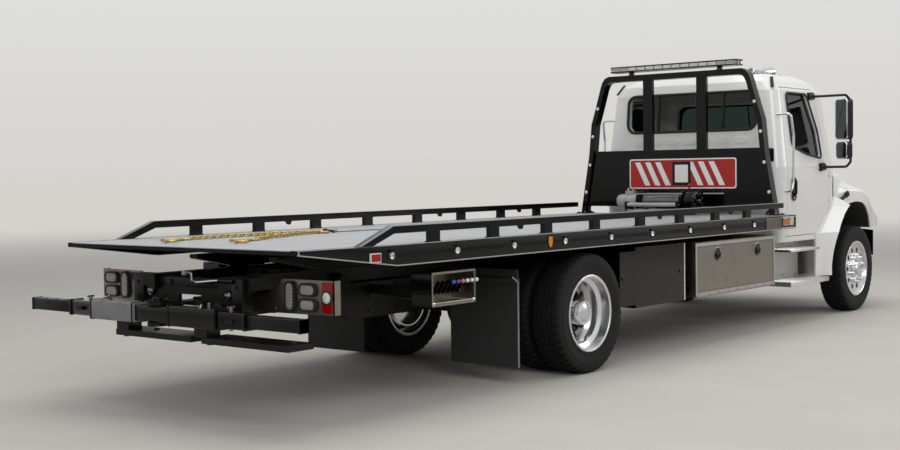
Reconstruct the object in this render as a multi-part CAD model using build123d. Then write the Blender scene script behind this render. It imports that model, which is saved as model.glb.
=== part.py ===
from build123d import *
from math import cos, radians, sin
import os

# Flatbed tow truck: a sliding, tilting car carrier bed on a conventional day-cab truck.
# Millimetres, +X forward, +Y left, +Z up, z = 0 on the ground.
# Lengths along the truck are stated from the rear axle. publish() moves them to the box centre.

# Overall places along the truck
WHEELBASE = 5400
BUMPER_FRONT = 6420
CRANE_REAR = -3277
BOX_MIDDLE = (BUMPER_FRONT + CRANE_REAR) / 2

# Clearances
FIT = 0.5
REST = 0.3

# Wheels and tyres
TYRE_R = 465
TYRE_W = 255
SEAT_R = 286
FLANGE_R = 298.5
RIM_HALF = 117
RIM_WALL = 9
FRONT_TRACK_Y = 1020
REAR_OUTER_Y = 1068
REAR_INNER_Y = 772
AXLE_Z = TYRE_R
HUB_R = 112
SPINDLE_R = 40

# Steering
KINGPIN_Y = 850
KINGPIN_R = 22

# Chassis frame
RAIL_Y = 432
RAIL_TOP = 800
RAIL_DEPTH = 250
RAIL_FLANGE = 80
RAIL_T = 8
RAIL_REAR = -1880
RAIL_FRONT = 6150

# Springs, across from the middle
SPRING_UNDER = (RAIL_Y - 82, RAIL_Y - 4)
SPRING_BESIDE = (RAIL_Y + 17, RAIL_Y + 95)

# Tilting frame under the bed
HINGE_X = -1980
HINGE_Z = 845
HINGE_R = 34
TILT_TOP = 915
TILT_TUBE = 100
TILT_Y = 360
TILT_W = 80
TILT_FRONT = 2700

# Bed
BED_TAIL = -3080
BED_FRONT = 3660
BED_HALF = 1220
DECK_TOP = 1110
DECK_T = 6
BEAM_DEPTH = 135
BEAM_T = 60
SILL_Z = 921
SILL_H = 100
SILL_Y = 400
SILL_W = 80
CROSS_W = 60
TAPER_X = -2280
RAIL_TUBE = 50
RAIL_TOP_Z = 1231
RAIL_RAMP = (-2630, -2310)
POST_W = 98

# Headboard
HEAD_X = 3450
HOOP_HALF = 50
HOOP_TOP = 2560
HEAD_PANEL = (1200, 1760)

# Cab
CAB_WALL = 60
CAB_FLOOR = 820
DOOR_REAR = 3880
DOOR_FRONT = 4880
DOOR_SILL = 880
DOOR_HEAD = 2385
DOOR_TOP_FRONT = 4650
DOOR_CUT = (4560, 1150)
DOOR_GAP = 6
DOOR_AXIS = (4892, 1046)
DOOR_PIN_R = 6
HINGE_LUG = 22
HINGE_Z_ROWS = (1240, 1500)
GLASS_T = 6

# Hood
HOOD_HINGE = (6362, 895)
HOOD_T = 14
HOOD_GAP = 8
HOOD_NOTCH_Z = 1262
GRILLE_HALF = 400
GRILLE_Z = (935, 1190)
BUMPER_Z = (545, 865)
BRACKET_Z = (560, 790)
HEADLAMP_Z = (925, 1060)
EAR_T = 12
EAR_PIN_R = 8

# Tilt cylinders
CYL_Y = 215
CYL_BASE = (950, 616)
CYL_EYE = (2350, 745)
BARREL_R = 55
ROD_R = 32

# Winch, rope and chain
WINCH_X = 3200
DRUM_R = 60
ROPE_R = 5
ROPE_Z = 76
CHAIN_H = 20
BRIDLE_X = -1300
BRIDLE_Y = 420

# Tool boxes and the control station
BOX_X = (1740, 3330)
BOX_Z = (440, 920)
BOX_Y = (RAIL_Y + 20, 1125)
BOX_WALL = 15
BOX_DOOR_T = 25
BOX_HINGE = (1153, 442)
FLAP_X = -800

# Wheel lift
BOOM_PIN = (-2300, 690)
BOOM_HALF = 75
MAST_X = -2935
POST_Y = 490
CROSSBAR_X = -3215
CROSSBAR_T = 100
CROSSBAR_HALF = 1325

os.makedirs("parts", exist_ok=True)


def block(x, y, z):
    """A box between the two values given for each axis."""
    size = Box(x[1] - x[0], y[1] - y[0], z[1] - z[0])
    return Pos((x[0] + x[1]) / 2, (y[0] + y[1]) / 2, (z[0] + z[1]) / 2) * size


def rod_x(x, y, z, radius):
    """A round bar along X, with x as its two ends."""
    return Pos((x[0] + x[1]) / 2, y, z) * Rot(0, 90, 0) * Cylinder(radius, x[1] - x[0])


def rod_y(x, y, z, radius):
    """A round bar along Y, with y as its two ends."""
    return Pos(x, (y[0] + y[1]) / 2, z) * Rot(90, 0, 0) * Cylinder(radius, y[1] - y[0])


def rod_z(x, y, z, radius):
    """A round bar along Z, with z as its two ends."""
    return Pos(x, y, (z[0] + z[1]) / 2) * Cylinder(radius, z[1] - z[0])


def side_plate(points, y):
    """A side-view outline of (x, z) points, carried across between the two y values."""
    face = Plane.XZ * make_face(Polyline(*points, close=True))
    return extrude(Pos(0, y[0], 0) * face, amount=y[1] - y[0], dir=(0, 1, 0))


def end_plate(points, x):
    """An end-view outline of (y, z) points, carried along between the two x values."""
    face = Plane.YZ * make_face(Polyline(*points, close=True))
    return extrude(Pos(x[0], 0, 0) * face, amount=x[1] - x[0], dir=(1, 0, 0))


def plan_plate(points, z):
    """A plan outline of (x, y) points, carried up between the two z values."""
    face = make_face(Polyline(*points, close=True))
    return extrude(Pos(0, 0, z[0]) * face, amount=z[1] - z[0], dir=(0, 0, 1))


def round_path(points, radius, section):
    """A bar of the given round radius along straight runs joined by arcs."""
    path = FilletPolyline(*points, radius=radius)
    start = path @ 0
    plane = Plane(origin=start, z_dir=path % 0)
    return sweep(plane * Circle(section), path=path)


def flip(shape):
    """The same shape on the other side of the truck."""
    return mirror(shape, about=Plane.XZ)


def both_sides(shape):
    """A left-hand shape and its right-hand copy."""
    return [shape, flip(shape)]


def publish(name, *shapes):
    """Write one node, moved so that the truck's box is centred on X."""
    solids = []
    for shape in shapes:
        solids.extend(shape.solids())
    moved = [Pos(-BOX_MIDDLE, 0, 0) * solid for solid in solids]
    body = moved[0] if len(moved) == 1 else Compound(moved)
    export_step(body, "parts/" + name + ".step")


# Wheels
def ring(profile, y):
    """A closed outline of (radius, offset across) points, turned round the axle line."""
    face = make_face(Polyline(*profile, close=True))
    return Pos(0, y, 0) * revolve(face, axis=Axis.Y)


def tyre(y):
    """A tyre with flat tread, rounded shoulders and bulging side walls."""
    half = TYRE_W / 2
    bead = RIM_HALF - 14
    tread = half - 22
    toe = FLANGE_R + 1
    lines = Polyline((toe, -bead), (SEAT_R, -bead), (SEAT_R, bead), (toe, bead))
    wall = ThreePointArc((toe, bead), (SEAT_R + 80, half), (TYRE_R - 22, half - 6))
    shoulder = Line((TYRE_R - 22, half - 6), (TYRE_R, tread))
    crown = Line((TYRE_R, tread), (TYRE_R, -tread))
    shoulder_in = Line((TYRE_R, -tread), (TYRE_R - 22, 6 - half))
    wall_in = ThreePointArc((TYRE_R - 22, 6 - half), (SEAT_R + 80, -half), (toe, -bead))
    face = make_face(Curve() + [lines, wall, shoulder, crown, shoulder_in, wall_in])
    return Pos(0, y, AXLE_Z) * revolve(face, axis=Axis.Y)


def rim(y, disc_at):
    """A rim with two flanges, a well and a disc set at disc_at from its middle."""
    inner = SEAT_R - RIM_WALL
    well = SEAT_R - 34
    bead = RIM_HALF - 14
    profile = [
        (inner, -RIM_HALF),
        (FLANGE_R, -RIM_HALF),
        (FLANGE_R, -bead),
        (SEAT_R, -bead),
        (SEAT_R, -40),
        (well, -22),
        (well, 22),
        (SEAT_R, 40),
        (SEAT_R, bead),
        (FLANGE_R, bead),
        (FLANGE_R, RIM_HALF),
        (inner, RIM_HALF),
        (inner, 44),
        (well - RIM_WALL, 26),
        (well - RIM_WALL, -26),
        (inner, -44),
    ]
    hand_hole_r = 27
    disc_t = 20
    disc_r = well - 4 if abs(disc_at) < 22 else inner + 2
    disc = rod_y(0, (disc_at - disc_t / 2, disc_at + disc_t / 2), 0, disc_r)
    for step in range(10):
        turn = radians(36 * step)
        hole_x = 205 * cos(turn)
        hole_z = 205 * sin(turn)
        disc -= rod_y(hole_x, (disc_at - disc_t, disc_at + disc_t), hole_z, hand_hole_r)
    disc -= rod_y(0, (disc_at - disc_t, disc_at + disc_t), 0, HUB_R)
    return Pos(0, y, AXLE_Z) * (ring(profile, 0) + disc)


def front_wheel():
    """The left front rim and hub, with a bore that turns on the spindle."""
    disc_at = 86
    shell = rim(FRONT_TRACK_Y, disc_at)
    hub_in = FRONT_TRACK_Y - 30
    hub_out = FRONT_TRACK_Y + disc_at + 10
    hub = rod_y(0, (hub_in, hub_out), AXLE_Z, HUB_R)
    cap = rod_y(0, (hub_out, hub_out + 55), AXLE_Z, 62)
    drum = rod_y(0, (FRONT_TRACK_Y - 110, hub_in + 10), AXLE_Z, 205)
    drum -= rod_y(0, (FRONT_TRACK_Y - 111, hub_in - 4), AXLE_Z, 192)
    bore = rod_y(0, (FRONT_TRACK_Y - 120, hub_out - 8), AXLE_Z, SPINDLE_R + FIT)
    return Pos(WHEELBASE, 0, 0) * (shell + hub + cap + drum - bore)


def rear_wheels():
    """The left pair of rear rims with their common hub and brake drum."""
    inner = rim(REAR_INNER_Y, 86)
    outer = rim(REAR_OUTER_Y, -86)
    hub_in = REAR_INNER_Y - 20
    hub_out = REAR_OUTER_Y + 62
    face = REAR_INNER_Y + 96
    hub = rod_y(0, (hub_in, face + 14), AXLE_Z, HUB_R)
    nose = rod_y(0, (face, hub_out), AXLE_Z, 92)
    spacer = rod_y(0, (face, REAR_OUTER_Y - 96), AXLE_Z, 150)
    drum = rod_y(0, (REAR_INNER_Y - 105, hub_in + 10), AXLE_Z, 215)
    drum -= rod_y(0, (REAR_INNER_Y - 106, hub_in - 4), AXLE_Z, 202)
    bore = rod_y(0, (REAR_INNER_Y - 110, hub_out - 40), AXLE_Z, SPINDLE_R + 10 + FIT)
    return inner + outer + hub + nose + spacer + drum - bore


# Axles and steering
def front_axle():
    """A forged beam with a dropped middle, spring pads and kingpin eyes."""
    eye_z = AXLE_Z
    half_w = 45
    web = 40
    left = [
        (0, eye_z - 160),
        (0, eye_z - 60),
        (520, eye_z - 60),
        (700, eye_z + 45),
        (KINGPIN_Y, eye_z + 45),
        (KINGPIN_Y, eye_z - 45),
        (720, eye_z - 55),
        (560, eye_z - 160),
    ]
    beam = end_plate(left, (WHEELBASE - half_w, WHEELBASE + half_w))
    waist = web - 14
    rib = end_plate([(0, eye_z - 140), (0, eye_z - 80), (500, eye_z - 80), (530, eye_z - 140)],
                    (WHEELBASE + half_w - waist, WHEELBASE + half_w))
    beam -= rib
    beam -= Pos(2 * WHEELBASE, 0, 0) * mirror(rib, about=Plane.YZ)
    beam += rod_z(WHEELBASE, KINGPIN_Y, (eye_z - 60, eye_z + 60), 50)
    beam += block((WHEELBASE - 75, WHEELBASE + 75), (RAIL_Y - 90, RAIL_Y + 5), (eye_z - 60, eye_z - 45))
    beam -= rod_z(WHEELBASE, KINGPIN_Y, (eye_z - 70, eye_z + 70), KINGPIN_R + FIT)
    return beam + flip(beam)


def knuckle():
    """The left knuckle: a fork round the axle end, its kingpin and the wheel spindle."""
    reach = 62
    fork_t = 28
    top = AXLE_Z + 60 + 2
    low = AXLE_Z - 60 - 2
    outer = KINGPIN_Y + 56
    body = Part()
    for z in ((top, top + fork_t), (low - fork_t, low)):
        body += rod_z(WHEELBASE, KINGPIN_Y, z, 46)
        body += block((WHEELBASE - 40, WHEELBASE + 40), (KINGPIN_Y, outer + 14), z)
    body += block((WHEELBASE - 55, WHEELBASE + 55), (outer, outer + 14), (low - fork_t, top + fork_t))
    body += rod_z(WHEELBASE, KINGPIN_Y, (low - fork_t, top + fork_t), KINGPIN_R)
    body += rod_y(WHEELBASE, (outer + 13, FRONT_TRACK_Y + reach + 12), AXLE_Z, SPINDLE_R)
    arm = [
        (WHEELBASE - 30, KINGPIN_Y - 10),
        (WHEELBASE - 230, KINGPIN_Y - 70),
        (WHEELBASE - 245, KINGPIN_Y - 40),
        (WHEELBASE - 36, KINGPIN_Y + 60),
    ]
    return body + plan_plate(arm, (low - fork_t, low - 6))


def rear_axle():
    """A drive axle with a round housing, a differential and spindles for the hubs."""
    tube_end = REAR_INNER_Y - 112
    spindle_end = REAR_OUTER_Y + 15
    body = rod_y(0, (-tube_end, tube_end), AXLE_Z, 62)
    body += rod_y(0, (-spindle_end, spindle_end), AXLE_Z, SPINDLE_R + 10)
    body += rod_y(0, (-90, 90), AXLE_Z, 190)
    body += rod_x((0, 270), 0, AXLE_Z, 85)
    for side in (-1, 1):
        pad = sorted((side * (SPRING_BESIDE[0] - 8), side * (SPRING_BESIDE[1] + 8)))
        body += block((-75, 75), pad, (AXLE_Z + 40, AXLE_Z + 75))
    return body


def leaf_pack(middle_x, base_z, half_span, rise, leaves, y):
    """A pack of curved leaves, each shorter than the one above it."""
    leaf_t = 13
    pack = Part()
    for leaf in range(leaves):
        span = half_span * (1 - 0.17 * leaf)
        drop = rise * (span / half_span) ** 2
        low = base_z + leaf_t * (leaves - 1 - leaf)
        outer = ThreePointArc((-span, low + drop), (0, low), (span, low + drop))
        inner = ThreePointArc((span, low + drop + leaf_t), (0, low + leaf_t), (-span, low + drop + leaf_t))
        ends = [Line(outer @ 1, inner @ 0), Line(inner @ 1, outer @ 0)]
        face = Plane.XZ * make_face(Curve() + [outer, inner] + ends)
        pack += extrude(Pos(0, y[0], 0) * face, amount=y[1] - y[0], dir=(0, 1, 0))
    return Pos(middle_x, 0, 0) * pack


def leaf_springs():
    """The four spring packs: the front pair under the rails, the rear pair beside them."""
    rail_low = RAIL_TOP - RAIL_DEPTH
    eye_r = 24
    rows = [
        # middle, pad height, half span, rise, leaves, place across
        (WHEELBASE, AXLE_Z - 45, 640, 70, 3, SPRING_UNDER),
        (0, AXLE_Z + 75, 660, 60, 5, SPRING_BESIDE),
    ]
    springs = []
    for middle, pad, half_span, rise, leaves, across in rows:
        pack = leaf_pack(middle, pad, half_span, rise, leaves, across)
        eye_z = pad + 13 * (leaves - 1) + rise + 8
        for end in (-1, 1):
            eye_x = middle + end * (half_span - 8)
            pack += rod_y(eye_x, across, eye_z, eye_r)
            wide, high, narrow, low, plate_y = 60, eye_z + 90, 26, eye_z - 26, (RAIL_Y, across[0])
            if across == SPRING_UNDER:
                wide, high, narrow, low, plate_y = 50, rail_low, 20, eye_z - 16, across
            top = [(eye_x - wide, high), (eye_x + wide, high)]
            pack += side_plate(top + [(eye_x + narrow, low), (eye_x - narrow, low)], plate_y)
        springs.extend(both_sides(pack))
    return springs


# Chassis
def chassis_frame():
    """Two channel rails tied by crossmembers, with cylinder pins and a hinge seat at the back."""
    web_in = RAIL_Y - RAIL_T
    low = RAIL_TOP - RAIL_DEPTH
    rail = block((RAIL_REAR, RAIL_FRONT), (RAIL_Y - RAIL_FLANGE, RAIL_Y), (low, RAIL_TOP))
    rail -= block((RAIL_REAR - 1, RAIL_FRONT + 1), (RAIL_Y - RAIL_FLANGE - 1, web_in),
                  (low + RAIL_T, RAIL_TOP - RAIL_T))
    frame = rail + flip(rail)
    cross_rows = [
        # place, half length, low, high
        (RAIL_REAR + 60, 50, low + RAIL_T, RAIL_TOP - RAIL_T),
        (-820, 45, low + RAIL_T, RAIL_TOP - RAIL_T),
        (560, 45, RAIL_TOP - 80, RAIL_TOP - RAIL_T),
        (CYL_BASE[0], 40, low + RAIL_T, low + 20),
        (2960, 50, low + RAIL_T, RAIL_TOP - RAIL_T),
        (RAIL_FRONT - 70, 60, low + RAIL_T, RAIL_TOP - RAIL_T),
    ]
    for place, half, z_low, z_high in cross_rows:
        frame += block((place - half, place + half), (-web_in, web_in), (z_low, z_high))
    frame -= rod_x((0, 4200), 0, AXLE_Z + 90, 95)
    for side in (-1, 1):
        for lug in (-1, 1):
            middle = side * CYL_Y + lug * (BARREL_R + 9)
            lug_y = (middle - 6, middle + 6)
            lug_points = [
                (CYL_BASE[0] - 40, low + 19),
                (CYL_BASE[0] - 40, CYL_BASE[1] + 30),
                (CYL_BASE[0] + 40, CYL_BASE[1] + 30),
                (CYL_BASE[0] + 40, low + 19),
            ]
            frame += side_plate(lug_points, lug_y)
    pin_half = CYL_Y + BARREL_R + 15
    for side in (-1, 1):
        pin = sorted((side * (CYL_Y - BARREL_R - 15), side * pin_half))
        frame += rod_y(CYL_BASE[0], pin, CYL_BASE[1], 20)
    horn = [
        (RAIL_REAR + 2, low),
        (RAIL_REAR + 2, RAIL_TOP),
        (HINGE_X + 60, RAIL_TOP + 40),
        (HINGE_X - 45, HINGE_Z + 40),
        (HINGE_X - 50, HINGE_Z - 45),
        (HINGE_X, low + 60),
    ]
    for side in (-1, 1):
        cheek = sorted((side * (RAIL_Y - 20), side * RAIL_Y))
        frame += side_plate(horn, cheek)
        frame += block((RAIL_REAR - 4, RAIL_REAR + 110), cheek, (low, RAIL_TOP))
    frame -= rod_y(HINGE_X, (-RAIL_Y - 1, RAIL_Y + 1), HINGE_Z, HINGE_R + FIT)
    flange_y = RAIL_Y - RAIL_FLANGE / 2
    for place in (3850, 4560):
        for side in (-1, 1):
            frame += rod_z(place, side * flange_y, (RAIL_TOP, CAB_FLOOR), 36)
    pad_y = (RAIL_Y - RAIL_FLANGE + 6, TILT_Y + TILT_W / 2 - 4)
    for place in (-900, 300, 1500, TILT_FRONT - 120):
        pad = block((place - 60, place + 60), pad_y, (RAIL_TOP, TILT_TOP - TILT_TUBE - REST))
        frame += pad + flip(pad)
    return frame


def powertrain():
    """The engine as one plain block, the gearbox and the driveshaft to the rear axle."""
    engine = block((5100, 5980), (-290, 290), (620, 1180))
    engine += block((5480, 5570), (-RAIL_Y + RAIL_T, RAIL_Y - RAIL_T), (640, 700))
    engine += rod_x((4300, 5102), 0, 655, 155)
    engine += rod_x((3900, 4302), 0, 640, 110)
    shaft_r = 45
    start = Vector(270, 0, AXLE_Z)
    end = Vector(3900, 0, 640)
    run = end - start
    middle = (start + end) * 0.5
    tilt_gap = 2 * (shaft_r * run.Z / run.length + REST)
    shaft = Plane(origin=middle, z_dir=run) * Cylinder(shaft_r, run.length - tilt_gap)
    return [engine, shaft]


def tanks():
    """A round-cornered fuel tank under the left door side and a hydraulic tank on the right."""
    fuel = block((780, 1600), (RAIL_Y + 30, 1130), (440, 900))
    fuel = fillet(fuel.edges().filter_by(Axis.X), 90)
    strap_x = (860, 1380)
    for place in strap_x:
        fuel += block((place, place + 50), (RAIL_Y, RAIL_Y + 32), (560, 780))
    oil = block((780, 1600), (-1120, -RAIL_Y - 30), (430, 930))
    for place in strap_x:
        oil += block((place, place + 50), (-RAIL_Y - 32, -RAIL_Y), (560, 780))
    return [fuel, oil]


def exhaust():
    """A silencer under the right side of the cab and a tail pipe out before the rear wheels."""
    y = -RAIL_Y - 188
    silencer = rod_x((3650, 4350), y, 520, 120)
    run_y = -RAIL_Y + 42
    outlet_x = 690
    route = [(3652, y, 520), (3500, y, 520), (3400, run_y, 490)]
    route += [(outlet_x, run_y, 490), (outlet_x, -1100, 560)]
    pipe = round_path(route, 90, 36)
    for place in (1500, 2800):
        pipe += block((place, place + 40), (run_y - 12, run_y + 12), (515, RAIL_TOP - RAIL_DEPTH))
    silencer += block((3900, 3940), (y + 60, -RAIL_Y), (600, 636))
    return [silencer + pipe]


def front_bumper():
    """A curved steel bumper on two brackets from the rail ends."""
    half = 1190
    sweep_back = 170
    t = 5
    end_x = BUMPER_FRONT - sweep_back
    outer = ThreePointArc((end_x, -half), (BUMPER_FRONT, 0), (end_x, half))
    inner = ThreePointArc((end_x - t, half), (BUMPER_FRONT - t, 0), (end_x - t, -half))
    ends = [Line(outer @ 1, inner @ 0), Line(inner @ 1, outer @ 0)]
    face = make_face(Curve() + [outer, inner] + ends)
    skin = extrude(Pos(0, 0, BUMPER_Z[0]) * face, amount=BUMPER_Z[1] - BUMPER_Z[0], dir=(0, 0, 1))
    back_x = BUMPER_FRONT - 34
    hinge_x, hinge_z = HOOD_HINGE
    ear_foot = BRACKET_Z[1] - 1
    for side in (-1, 1):
        bracket = sorted((side * (RAIL_Y - 12), side * RAIL_Y))
        skin += block((RAIL_FRONT, back_x), bracket, BRACKET_Z)
        skin += block((back_x - 8, back_x + 11), sorted((side * (RAIL_Y - 80), side * RAIL_Y)), BRACKET_Z)
        ear = side_plate([
            (hinge_x - 60, ear_foot),
            (hinge_x - 16, hinge_z + 14),
            (hinge_x + 12, hinge_z + 14),
            (hinge_x + 20, ear_foot),
        ], bracket)
        pin = sorted((side * (RAIL_Y - 12), side * (RAIL_Y + EAR_T + 10)))
        skin += ear + rod_y(hinge_x, pin, hinge_z, EAR_PIN_R)
    return skin


def tow_eyes():
    """Two drilled towing plates bolted under the front of the rails."""
    eye_x = RAIL_FRONT + 90
    plate = [
        (RAIL_FRONT - 240, 700),
        (RAIL_FRONT - 240, 570),
        (eye_x - 45, 400),
        (eye_x + 45, 400),
        (eye_x + 45, 490),
        (RAIL_FRONT - 20, 600),
        (RAIL_FRONT - 20, 700),
    ]
    eye = side_plate(plate, (RAIL_Y, RAIL_Y + 25))
    eye -= rod_y(eye_x, (RAIL_Y - 5, RAIL_Y + 30), 446, 20)
    return both_sides(eye)


# Cab
CAB_ROWS = [
    # height, back, front at the side, front in the middle, half width, front corner radius
    (CAB_FLOOR, 3730, 4865, 4880, 1020, 12),
    (1010, 3730, 4965, 4975, 1030, 12),
    (1200, 3730, 4990, 5030, 1040, 12),
    (1580, 3735, 5030, 5260, 1045, 110),
    (2360, 3790, 4900, 5080, 955, 110),
    (2455, 3830, 4790, 4950, 895, 110),
    (2530, 3930, 4640, 4760, 780, 110),
]
ROOF_ROW = 4
REAR_CORNER_R = 110


def cab_outline(row, inset):
    """One plan section of the cab, made smaller by inset on all sides."""
    height, back, side_x, middle_x, half, nose_r = row
    back += inset
    side_x -= inset
    middle_x -= inset
    half -= inset
    back_y = half - 10
    lines = Polyline((side_x, half), (back, back_y), (back, -back_y), (side_x, -half))
    nose = ThreePointArc((side_x, -half), (middle_x, 0), (side_x, half))
    face = make_face(Curve() + [lines, nose])
    corners = face.vertices().sort_by(Axis.X)
    face = fillet(corners[:2], REAR_CORNER_R - inset)
    corners = face.vertices().sort_by(Axis.X)
    face = fillet(corners[-2:], max(nose_r - inset, 10))
    return Pos(0, 0, height) * face


def cab_form(inset, roof_drop, floor_rise):
    """The cab's outer form, or its inside when inset."""
    rows = []
    for number, row in enumerate(CAB_ROWS):
        height = row[0]
        if number == 0:
            height += floor_rise
        if number >= ROOF_ROW:
            height -= roof_drop
        rows.append(cab_outline((height,) + row[1:], inset))
    return loft(rows, ruled=True)


WINDOW_OUTLINE = [
    (4010, 2330),
    (4490, 2330),
    (4670, 1950),
    (4705, 1670),
    (4365, 1712),
    (4030, 1795),
]


def door_tool(grow):
    """The left door's side outline as a cutter, with a rear edge that lets it swing."""
    near = DOOR_AXIS[1] + 60
    far = 945 - grow
    far_above = 820 - grow
    belt = 1560
    bevel = 45
    low = DOOR_SILL - grow
    high = DOOR_HEAD + grow
    rear = DOOR_REAR - 100
    front = DOOR_FRONT + grow
    cut_x, cut_z = DOOR_CUT
    lower = side_plate([
        (rear, low),
        (rear, belt),
        (front, belt),
        (front, cut_z - 0.47 * grow),
        (cut_x + 0.36 * grow, low),
    ], (far, near))
    head = (DOOR_TOP_FRONT + grow, high)
    upper = side_plate([(rear, belt), (rear, high), head, (front, belt)], (far_above, near))
    wedge = plan_plate([
        (DOOR_REAR - 300, far_above - 1),
        (DOOR_REAR + bevel - grow, far_above - 1),
        (DOOR_REAR - 15 - grow, near + 1),
        (DOOR_REAR - 300, near + 1),
    ], (low - 1, high + 1))
    return lower + upper - wedge


def window_tool():
    """The left door window as a cutter with round corners."""
    face = make_face(Polyline(*WINDOW_OUTLINE, close=True))
    face = fillet(face.vertices(), 40)
    return extrude(Pos(0, 820, 0) * (Plane.XZ * face), amount=320, dir=(0, 1, 0))


def slab_tool(x, half, z, corner):
    """A round-cornered window cutter that runs along X."""
    face = Pos(0, (z[0] + z[1]) / 2) * RectangleRounded(2 * half, z[1] - z[0], corner)
    return extrude(Pos(x[0], 0, 0) * (Plane.YZ * face), amount=x[1] - x[0], dir=(1, 0, 0))


def windshield_tool():
    """The windshield opening, narrower at its head than at its foot."""
    outline = [(-880, 1640), (-770, 2285), (770, 2285), (880, 1640)]
    face = make_face(Polyline(*outline, close=True))
    face = fillet(face.vertices(), 90)
    return extrude(Pos(4400, 0, 0) * (Plane.YZ * face), amount=1000, dir=(1, 0, 0))


def rear_window_tool():
    """The wide, low window in the cab's back wall."""
    return slab_tool((3600, 4000), 745, (1972, 2352), 90)


CAB_OUTER = cab_form(0, 0, 0)
CAB_INNER = cab_form(CAB_WALL, 50, 60)
DOOR_SKIN = CAB_OUTER - CAB_INNER


def hinge_leaf(height):
    """A lug on the left door that turns on the pin at the door's axis."""
    x, y = DOOR_AXIS
    z = (height - HINGE_LUG / 2, height + HINGE_LUG / 2)
    leaf = plan_plate([
        (x - 62, y - 24),
        (x - 14, y - 24),
        (x - 14, y - 8),
        (x, y - 8),
        (x, y + 8),
        (x - 20, y + 8),
        (x - 62, y - 12),
    ], z)
    leaf += rod_z(x, y, z, 9)
    return leaf - rod_z(x, y, z, DOOR_PIN_R + FIT)


def hinge_post(shell, height):
    """The cab with a pocket, two knuckles and a pin for one door lug on the left."""
    x, y = DOOR_AXIS
    half = HINGE_LUG / 2 + FIT
    shell += rod_z(x, y, (height - half - 20, height + half + 20), 9)
    shell -= rod_z(x, y, (height - half, height + half), 20)
    return shell + rod_z(x, y, (height - half - 20, height + half + 20), DOOR_PIN_R)


def cab_shell():
    """The cab's floor, back, roof and pillars, with its windows and doorways cut."""
    shell = CAB_OUTER - CAB_INNER
    for height in HINGE_Z_ROWS:
        shell = hinge_post(shell, height)
        shell = flip(hinge_post(flip(shell), height))
    doorway = door_tool(DOOR_GAP)
    shell = shell - doorway - flip(doorway)
    return shell - windshield_tool() - rear_window_tool()


def glass_pane(tool):
    """The 6 mm layer of the cab's skin inside a window cutter."""
    outer = cab_form(20, 20, 20)
    inner = cab_form(20 + GLASS_T, 20 + GLASS_T, 20 + GLASS_T)
    layer = outer - inner
    return layer & tool


def cab_glass():
    """The windshield and the rear window."""
    return [glass_pane(windshield_tool()), glass_pane(rear_window_tool())]


def door():
    """The left door: the cab skin inside the door outline, less its window."""
    panel = (DOOR_SKIN & door_tool(0)) - window_tool()
    for height in HINGE_Z_ROWS:
        panel += hinge_leaf(height)
    return panel


def seats():
    """Two seats on pedestals, each a cushion and a back."""
    solids = []
    for side in (-1, 1):
        middle = side * 480
        base = block((4020, 4380), (middle - 180, middle + 180), (880, 1130))
        base += block((3960, 4480), (middle - 250, middle + 250), (1130, 1250))
        back = [(3960, 1250), (3860, 1850), (3960, 1880), (4090, 1250)]
        base += side_plate(back, (middle - 240, middle + 240))
        solids.append(base)
    return solids


def dashboard():
    """The dash with its steering column and wheel."""
    outline = [(4780, 1230), (4700, 1420), (4780, 1520), (5130, 1560), (5130, 1230)]
    dash = side_plate(outline, (-860, 860)) & cab_form(CAB_WALL + REST, 50, 60)
    hub = Vector(4640, 480, 1480)
    column = Plane(origin=hub, z_dir=Vector(-0.8, 0, 0.6))
    dash += column * (Pos(0, 0, -110) * Cylinder(28, 220))
    dash += column * Torus(210, 14)
    for turn in (0, 120, 240):
        dash += column * (Rot(0, 0, turn) * (Pos(105, 0, -4) * Box(210, 26, 12)))
    return dash


def cab_steps():
    """The left step well: two treads, a back panel and a front cheek."""
    back = block((3690, 4552), (880, 892), (430, CAB_FLOOR - 2))
    cheek = block((4540, 4552), (892, 1024), (430, CAB_FLOOR - 2))
    upper = block((3690, 4380), (892, 1150), (730, 752))
    lower = block((3690, 4620), (880, 1150), (385, 430))
    brackets = block((3720, 3770), (RAIL_Y, 881), (660, 700))
    brackets += block((4400, 4438), (RAIL_Y, 881), (660, 700))
    return both_sides(back + cheek + upper + lower + brackets)


def grab_handles():
    """A bent grab rail behind the left door."""
    points = [
        (3815, 915, 2110),
        (3815, 1100, 2110),
        (3860, 1110, 1900),
        (3850, 1110, 1420),
        (3830, 1100, 1330),
        (3830, 1000, 1330),
    ]
    return both_sides(round_path(points, 40, 12) - CAB_OUTER)


def mirror_set():
    """The left mirror: a tubular loop from the door's front edge with two turned heads."""
    tube_x = 4840
    tube_y = 1300
    points = [
        (4610, 900, 2312),
        (tube_x - 60, tube_y - 25, 2325),
        (tube_x, tube_y, 2270),
        (tube_x, tube_y, 1625),
        (tube_x - 50, tube_y - 25, 1574),
        (4690, 1000, 1574),
    ]
    loop = round_path(points, 35, 13)
    turn = 26
    for low, high, wide in ((1860, 2285, 185), (1655, 1838, 165)):
        head = Box(76, wide, high - low)
        head = fillet(head.edges().filter_by(Axis.X), 38)
        loop += Pos(tube_x - 18, tube_y - 62, (low + high) / 2) * Rot(0, 0, turn) * head
    return loop - CAB_OUTER


# Hood
HOOD_ROWS = [
    # place, fender half width and height, waist half and height, shoulder half and height, top half and height
    (4988, 1046, 1274, 1044, 1380, 1036, 1480, 856, 1590),
    (5110, 1052, 1290, 1040, 1380, 1030, 1480, 850, 1585),
    (5400, 1150, 1330, 990, 1400, 950, 1480, 790, 1560),
    (5720, 1148, 1245, 920, 1345, 870, 1420, 700, 1505),
    (6060, 1085, 1075, 850, 1240, 790, 1330, 610, 1420),
    (6362, 970, 980, 740, 1100, 680, 1210, 500, 1290),
]
HOOD_LOW = 430


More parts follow.
